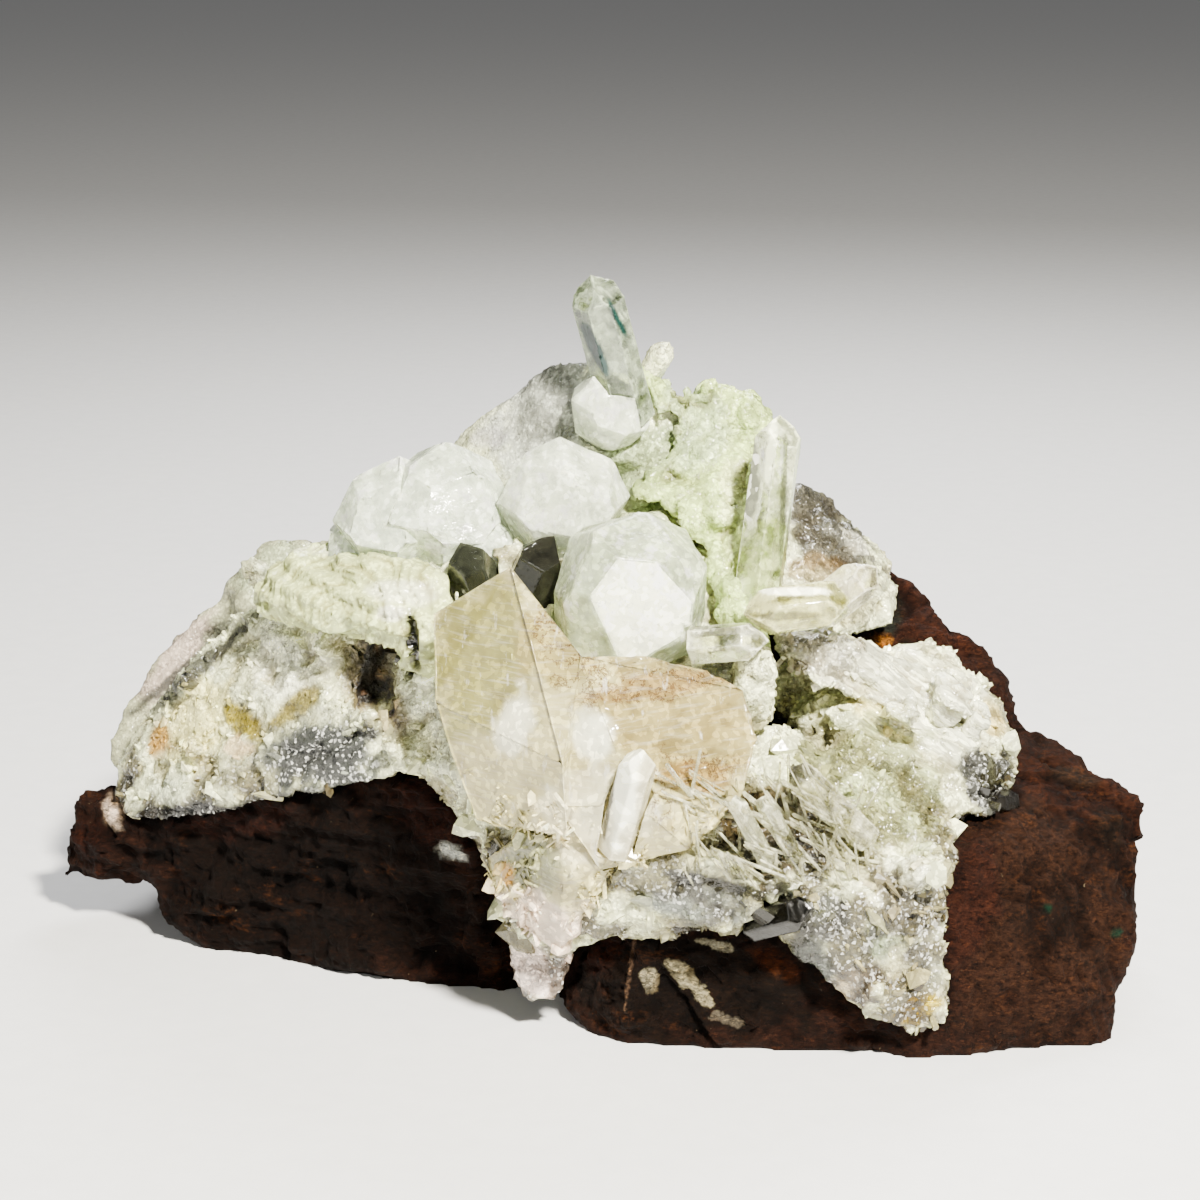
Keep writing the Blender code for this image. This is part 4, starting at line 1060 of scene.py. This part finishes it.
# %% Calcite
CALCITE = ["calcite_block", "calcite_chip"]
CALCITE_STAINS = {
    # The olive facet is olive of its own, and painted darker than the right block as shade on that facet.
    "olive facet": (-12, -6, 6, 7, 0, (0.58, 0.56, 0.34), 0.95),
    "veined ridge": (-4, -4, 4.4, 4, 40, (0.64, 0.58, 0.38), 0.8),
    "beige right block": (8, -12, 8, 7, 0, (0.64, 0.58, 0.40), 0.95),
    "brown top edge": (6.5, -8.5, 8, 1, -8, (0.56, 0.44, 0.28), 0.6),
    "white veil": (-8.8, -12.5, 1.6, 3.0, 20, (1.0, 0.99, 0.96), 0.9),
    "bright patch": (-1, -14, 2, 2.6, -20, (1.0, 1.0, 0.98), 1.0),
    "orange-brown dirt": (10, -18, 4, 1.6, 0, (0.60, 0.46, 0.24), 0.6),
    "white lower middle": (0, -21, 5, 4, 0, (0.92, 0.90, 0.84), 0.7),
    "cream kite": (-3.2, -22.8, 3.4, 3.6, 0, (0.98, 0.94, 0.84), 0.9),
    "grey-green facet": (-7, -26.5, 4.4, 3.4, 0, (0.56, 0.57, 0.46), 0.85),
    "ochre spot": (-9.3, -27.7, 0.8, 1.2, 0, (0.74, 0.56, 0.26), 0.9),
    "pinkish foot": (-6, -33, 5, 4, 0, (0.95, 0.86, 0.86), 0.9),
    "lilac foot": (-6, -38, 4, 2, 0, (0.86, 0.75, 0.84), 0.8),
}
VEINED = {
    "right of the ridge": (-4.0, -3.6, 2.6, 4.4, -30),
    "foot of the ridge": (-1.6, -7.6, 3, 2, 0),
    "top edge": (6, -8.6, 8, 1.4, -8),
    "corner of dirt": (10, -17.5, 4.4, 2.2, 0),
    "beside the bright prism": (6.5, -19, 1.4, 4, 0),
}


def veins(tree, where, colour):
    """Brown threads where the veins are stored, fine pale lines and white veils."""
    network = times(tree, threads(tree, where, 1.6, 0.04), stored(tree, "veined"))
    colour = mix(tree, network, colour, (0.12, 0.06, 0.02))
    lines = noise(tree, in_mm(tree, (0.3, 0.3, 3.6)), 1.0, 3)
    colour = mix(tree, ramp(tree, lines, 0.52, 0.72, 0.0, 0.3), colour, (0.86, 0.80, 0.66))
    veils = noise(tree, in_mm(tree, (1.6, 0.6, 0.5)), 1.6, 4, 0.7)
    return mix(tree, ramp(tree, veils, 0.60, 0.72, 0.0, 0.7), colour, (0.95, 0.92, 0.80))


peach = mineral("calcite", ior=1.6, coarse=2.4, fine=0.5, relief=0.08, vary=0.09, dress=veins)


def lower_calcite(where):
    """Where small crystals stand on the calcite: on its lower part."""
    return smooth(-where[:, 2], -29, -24) * smooth(cloud(where, 3.5, 64, 2), -0.3, 0.3) + 0.002


for name in CALCITE:
    block = crystal(name.replace("calcite_", "peach_"), "calcite", name, 0.4, 0.5)
    points = places(block)
    right_part = smooth(points[:, 0], 0, 3)
    height = right_part * chips(points * (0.5, 0.7, 1.6), 1.5, 0.14, 62) + 0.05 * cloud(points, 2.0, 63, 3)
    push(block, height - 0.06)
    veined = np.max([patch(points, *place, CALCITE) for place in VEINED.values()], axis=0)
    store(block, "veined", np.tile(veined[:, None], (1, 3)))
    # Painted shade in the hollows of the broken faces.
    paint(block, (0.78, 0.74, 0.58), CALCITE_STAINS, CALCITE, painted_hollow_shade(height, 0.7))
    look(block, 0.40, 0.06)
    block.data.materials.append(peach)
    print(count(block))
    grown, flaked = name.replace("calcite_", "sugar_on_"), name.replace("calcite_", "flakes_on_")
    sprinkle(grown, "calcite", block, 500, lower_calcite, 7, sugar, (0.2, 0.5), (3.0, 7.0), 0.5)
    sprinkle(flaked, "calcite", block, 50, lower_calcite, 10, sugar, (1.2, 3.0), (1.0, 1.8), 0.7)

# %% [markdown]
# ## Quartz
# The quartz prisms are clear, six-sided and pointed, and their sides carry fine lines across the
# length. Clear crystal is simply seen through: full clearness, low roughness, and what lies behind
# it does the rest. Some bright bands and faces are painted highlights and some dark edges painted
# shade, and the two prisms at the back are painted dark grey as painted shade and dark reflection.

# %% Quartz
QUARTZES = {
    "quartz_tip": ((0.66, 0.70, 0.66), 0.9, 0.05),
    "quartz_right": ((0.95, 0.97, 0.90), 0.95, 0.05),
    "quartz_level": ((0.90, 0.89, 0.72), 0.97, 0.02),
    "quartz_level_back": ((0.97, 0.95, 0.93), 0.97, 0.03),
    "quartz_short": ((0.97, 0.97, 0.95), 0.95, 0.04),
    "quartz_bright": ((0.98, 0.95, 0.90), 0.60, 0.06),
    # The two prisms at the back are painted dark grey: painted shade and dark reflection.
    "quartz_back_left": ((0.20, 0.21, 0.18), 0.75, 0.05),
    "quartz_back_right": ((0.15, 0.15, 0.13), 0.75, 0.04),
    "quartz_long": ((0.96, 0.95, 0.90), 0.97, 0.03),
    "quartz_needle_left": ((0.96, 0.96, 0.92), 0.97, 0.03),
    "quartz_needle_right": ((0.96, 0.96, 0.92), 0.97, 0.03),
    "quartz_smoky": ((0.05, 0.045, 0.035), 0.5, 0.14),
}
QUARTZ_STAINS = {
    "quartz_tip": {
        "dark streak": (-0.4, 25.2, 0.6, 3.0, -26, (0.05, 0.16, 0.17), 1.0),
        "thin dark streak": (1.7, 28.4, 0.4, 2.4, -28, (0.08, 0.20, 0.20), 1.0),
    },
    "quartz_right": {
        "green foot": (17, 4, 2.4, 4, 0, (0.84, 0.90, 0.62), 0.7),
        "dark line": (18.4, 9, 0.25, 8, 2, (0.35, 0.38, 0.28), 0.8),
    },
    "quartz_level": {
        # The bright band is a painted highlight; the dark side and dark upper edge are painted shade.
        "bright band": (19.5, 0.9, 3.6, 0.35, 0, (1.0, 1.0, 0.98), 1.0),
        "dark side": (18.5, -1.6, 4.0, 0.4, 0, (0.30, 0.28, 0.18), 0.85),
        "dark upper edge": (19.5, 2.0, 4.5, 0.25, 0, (0.40, 0.38, 0.26), 0.8),
    },
    "quartz_bright": {
        # The bright left face is a painted highlight and its dark left edge is painted shade.
        "bright left face": (2.3, -20, 1.3, 5.6, 8, (1.0, 1.0, 1.0), 1.0),
        "dark left edge": (1.0, -20, 0.25, 5, 8, (0.20, 0.17, 0.13), 0.9),
        "brown right edge": (5.2, -20, 0.25, 5, 8, (0.42, 0.32, 0.22), 0.7),
    },
    "quartz_long": {"dark head": (20, -17.4, 1.4, 1.4, 0, (0.16, 0.15, 0.13), 0.9)},
}
QUARTZ_LOOKS = {
    "quartz_tip": {
        "dark streak": (-0.4, 25.2, 0.45, 2.8, -26, (0.2, 0.1, 0.0)),
        "thin dark streak": (1.7, 28.4, 0.25, 2.2, -28, (0.2, 0.1, 0.0)),
    },
    "quartz_right": {
        "granular edge": (15.1, 12.5, 0.9, 5.8, 0, (0.0, 0.4, 0.85)),
        "white line": (17.3, 16, 0.4, 4, 6, (0.1, 0.3, 0.0)),
    },
    # Where highlights are painted, the quartz is made opaque so that they show.
    "quartz_level": {"bright band": (19.5, 0.9, 3.6, 0.35, 0, (0.0, 0.2, 0.0))},
    "quartz_bright": {"bright left face": (2.3, -20, 1.3, 5.6, 8, (0.05, 0.1, 0.0))},
}
clear_quartz = mineral("quartz", ior=1.54, coarse=2.4, fine=0.7, relief=0.05, vary=0.03)
for name, (shade, clear, rough) in QUARTZES.items():
    prism = crystal(name.replace("quartz_", "prism_"), "quartz", name, 0.13, 0.45)
    points = places(prism)
    middle = points - points.mean(0)
    along = np.linalg.svd(middle[:: len(middle) // 2000 + 1], full_matrices=False)[2][0]
    lines = np.sin(points @ along / 0.6 * 2 * np.pi + 3 * cloud(points, 4.0, 71, 2))
    push(prism, 0.014 * lines + 0.03 * cloud(points, 2.0, 72, 2) - 0.03)
    rim = edges(prism)
    paint(prism, shade, QUARTZ_STAINS.get(name, {}), [name])
    look(prism, clear * (1 - 0.6 * rim), rough + 0.15 * rim, 0.0, QUARTZ_LOOKS.get(name), [name])
    prism.data.materials.append(clear_quartz)
print(len(QUARTZES), "prisms of quartz")

# %% [markdown]
# ## Needles
# Below the calcite thin clear needles lie across each other, all leaning to the upper left. They
# are too fine for the solids, so they are added here, with their feet on the crust.

# %% Needles
NEEDLES = 150
luck = np.random.default_rng(9)
across, up = luck.uniform(9, 27, NEEDLES), luck.uniform(-29, -19, NEEDLES)
feet = np.array([spot(a, u) for a, u in zip(across, up)])
lean = luck.normal(0, 0.45, NEEDLES)
axes = np.stack([-0.55 + lean, -0.55 + luck.normal(0, 0.15, NEEDLES), 0.9 + lean * 0.3], 1)
widths = luck.uniform(0.18, 0.55, NEEDLES)
lengths = luck.uniform(2.5, 7.5, NEEDLES)
tints = srgb(0.95, 0.94, 0.90) * luck.uniform(0.85, 1.05, (NEEDLES, 1))
looks = np.tile([0.92, 0.05, 0.0], (NEEDLES, 1))
spin = luck.uniform(0, math.pi, NEEDLES)
feet -= axes * 1.2
flatness = np.full(NEEDLES, 0.7)
prisms("needles", "quartz", feet, axes, widths, lengths, flatness, tints, looks, spin, clear_quartz)

# %% [markdown]
# ## Light and floor
# A small bright light from the upper right front makes the crystal faces glint, as the sun does. A
# wide soft one from the left fills the shade, and a third behind the piece lights the clear
# crystals through. The sky is bright above and darker near the level, which draws the edges of
# clear crystals.


# %% Studio
def lamp(name, place, size, power, colour):
    made = bpy.data.objects.new(name, bpy.data.lights.new(name, "AREA"))
    bpy.context.scene.collection.objects.link(made)
    made.data.size = size * MM
    made.data.energy = power
    made.data.color = colour
    made.location = Vector(place) * MM
    made.rotation_mode = "QUATERNION"
    made.rotation_quaternion = (made.location - AIM * MM).to_track_quat("Z", "Y")


lamp("key", (120, -260, 310), 40, 10.0, (1.0, 0.95, 0.84))
lamp("fill", (-330, -240, 200), 320, 0.5, (1.0, 1.0, 0.94))
lamp("rim", (60, 260, 320), 160, 2.0, (1.0, 1.0, 1.0))

world = bpy.data.worlds.new("studio")
bpy.context.scene.world = world
world.use_nodes = True
tree = world.node_tree
direction = node(tree, "TexCoord").outputs["Generated"]
level = node(tree, "SeparateXYZ", {"Vector": direction}).outputs["Z"]
sky = mix(tree, ramp(tree, level, 0.0, 0.9), (0.10, 0.10, 0.10), (0.50, 0.50, 0.50))
tree.links.new(sky, tree.nodes["Background"].inputs["Color"])
tree.nodes["Background"].inputs["Strength"].default_value = 0.45

bpy.ops.mesh.primitive_plane_add(size=6)
floor = bpy.context.object
floor.name = "floor"
paper, tree, shader = material("floor")
weave = noise(tree, in_mm(tree), 3.0, 4)
tree.links.new(grey(tree, ramp(tree, weave, 0.3, 0.7, 0.70, 0.74)), shader.inputs["Base Color"])
shader.inputs["Roughness"].default_value = 0.7
floor.data.materials.append(paper)
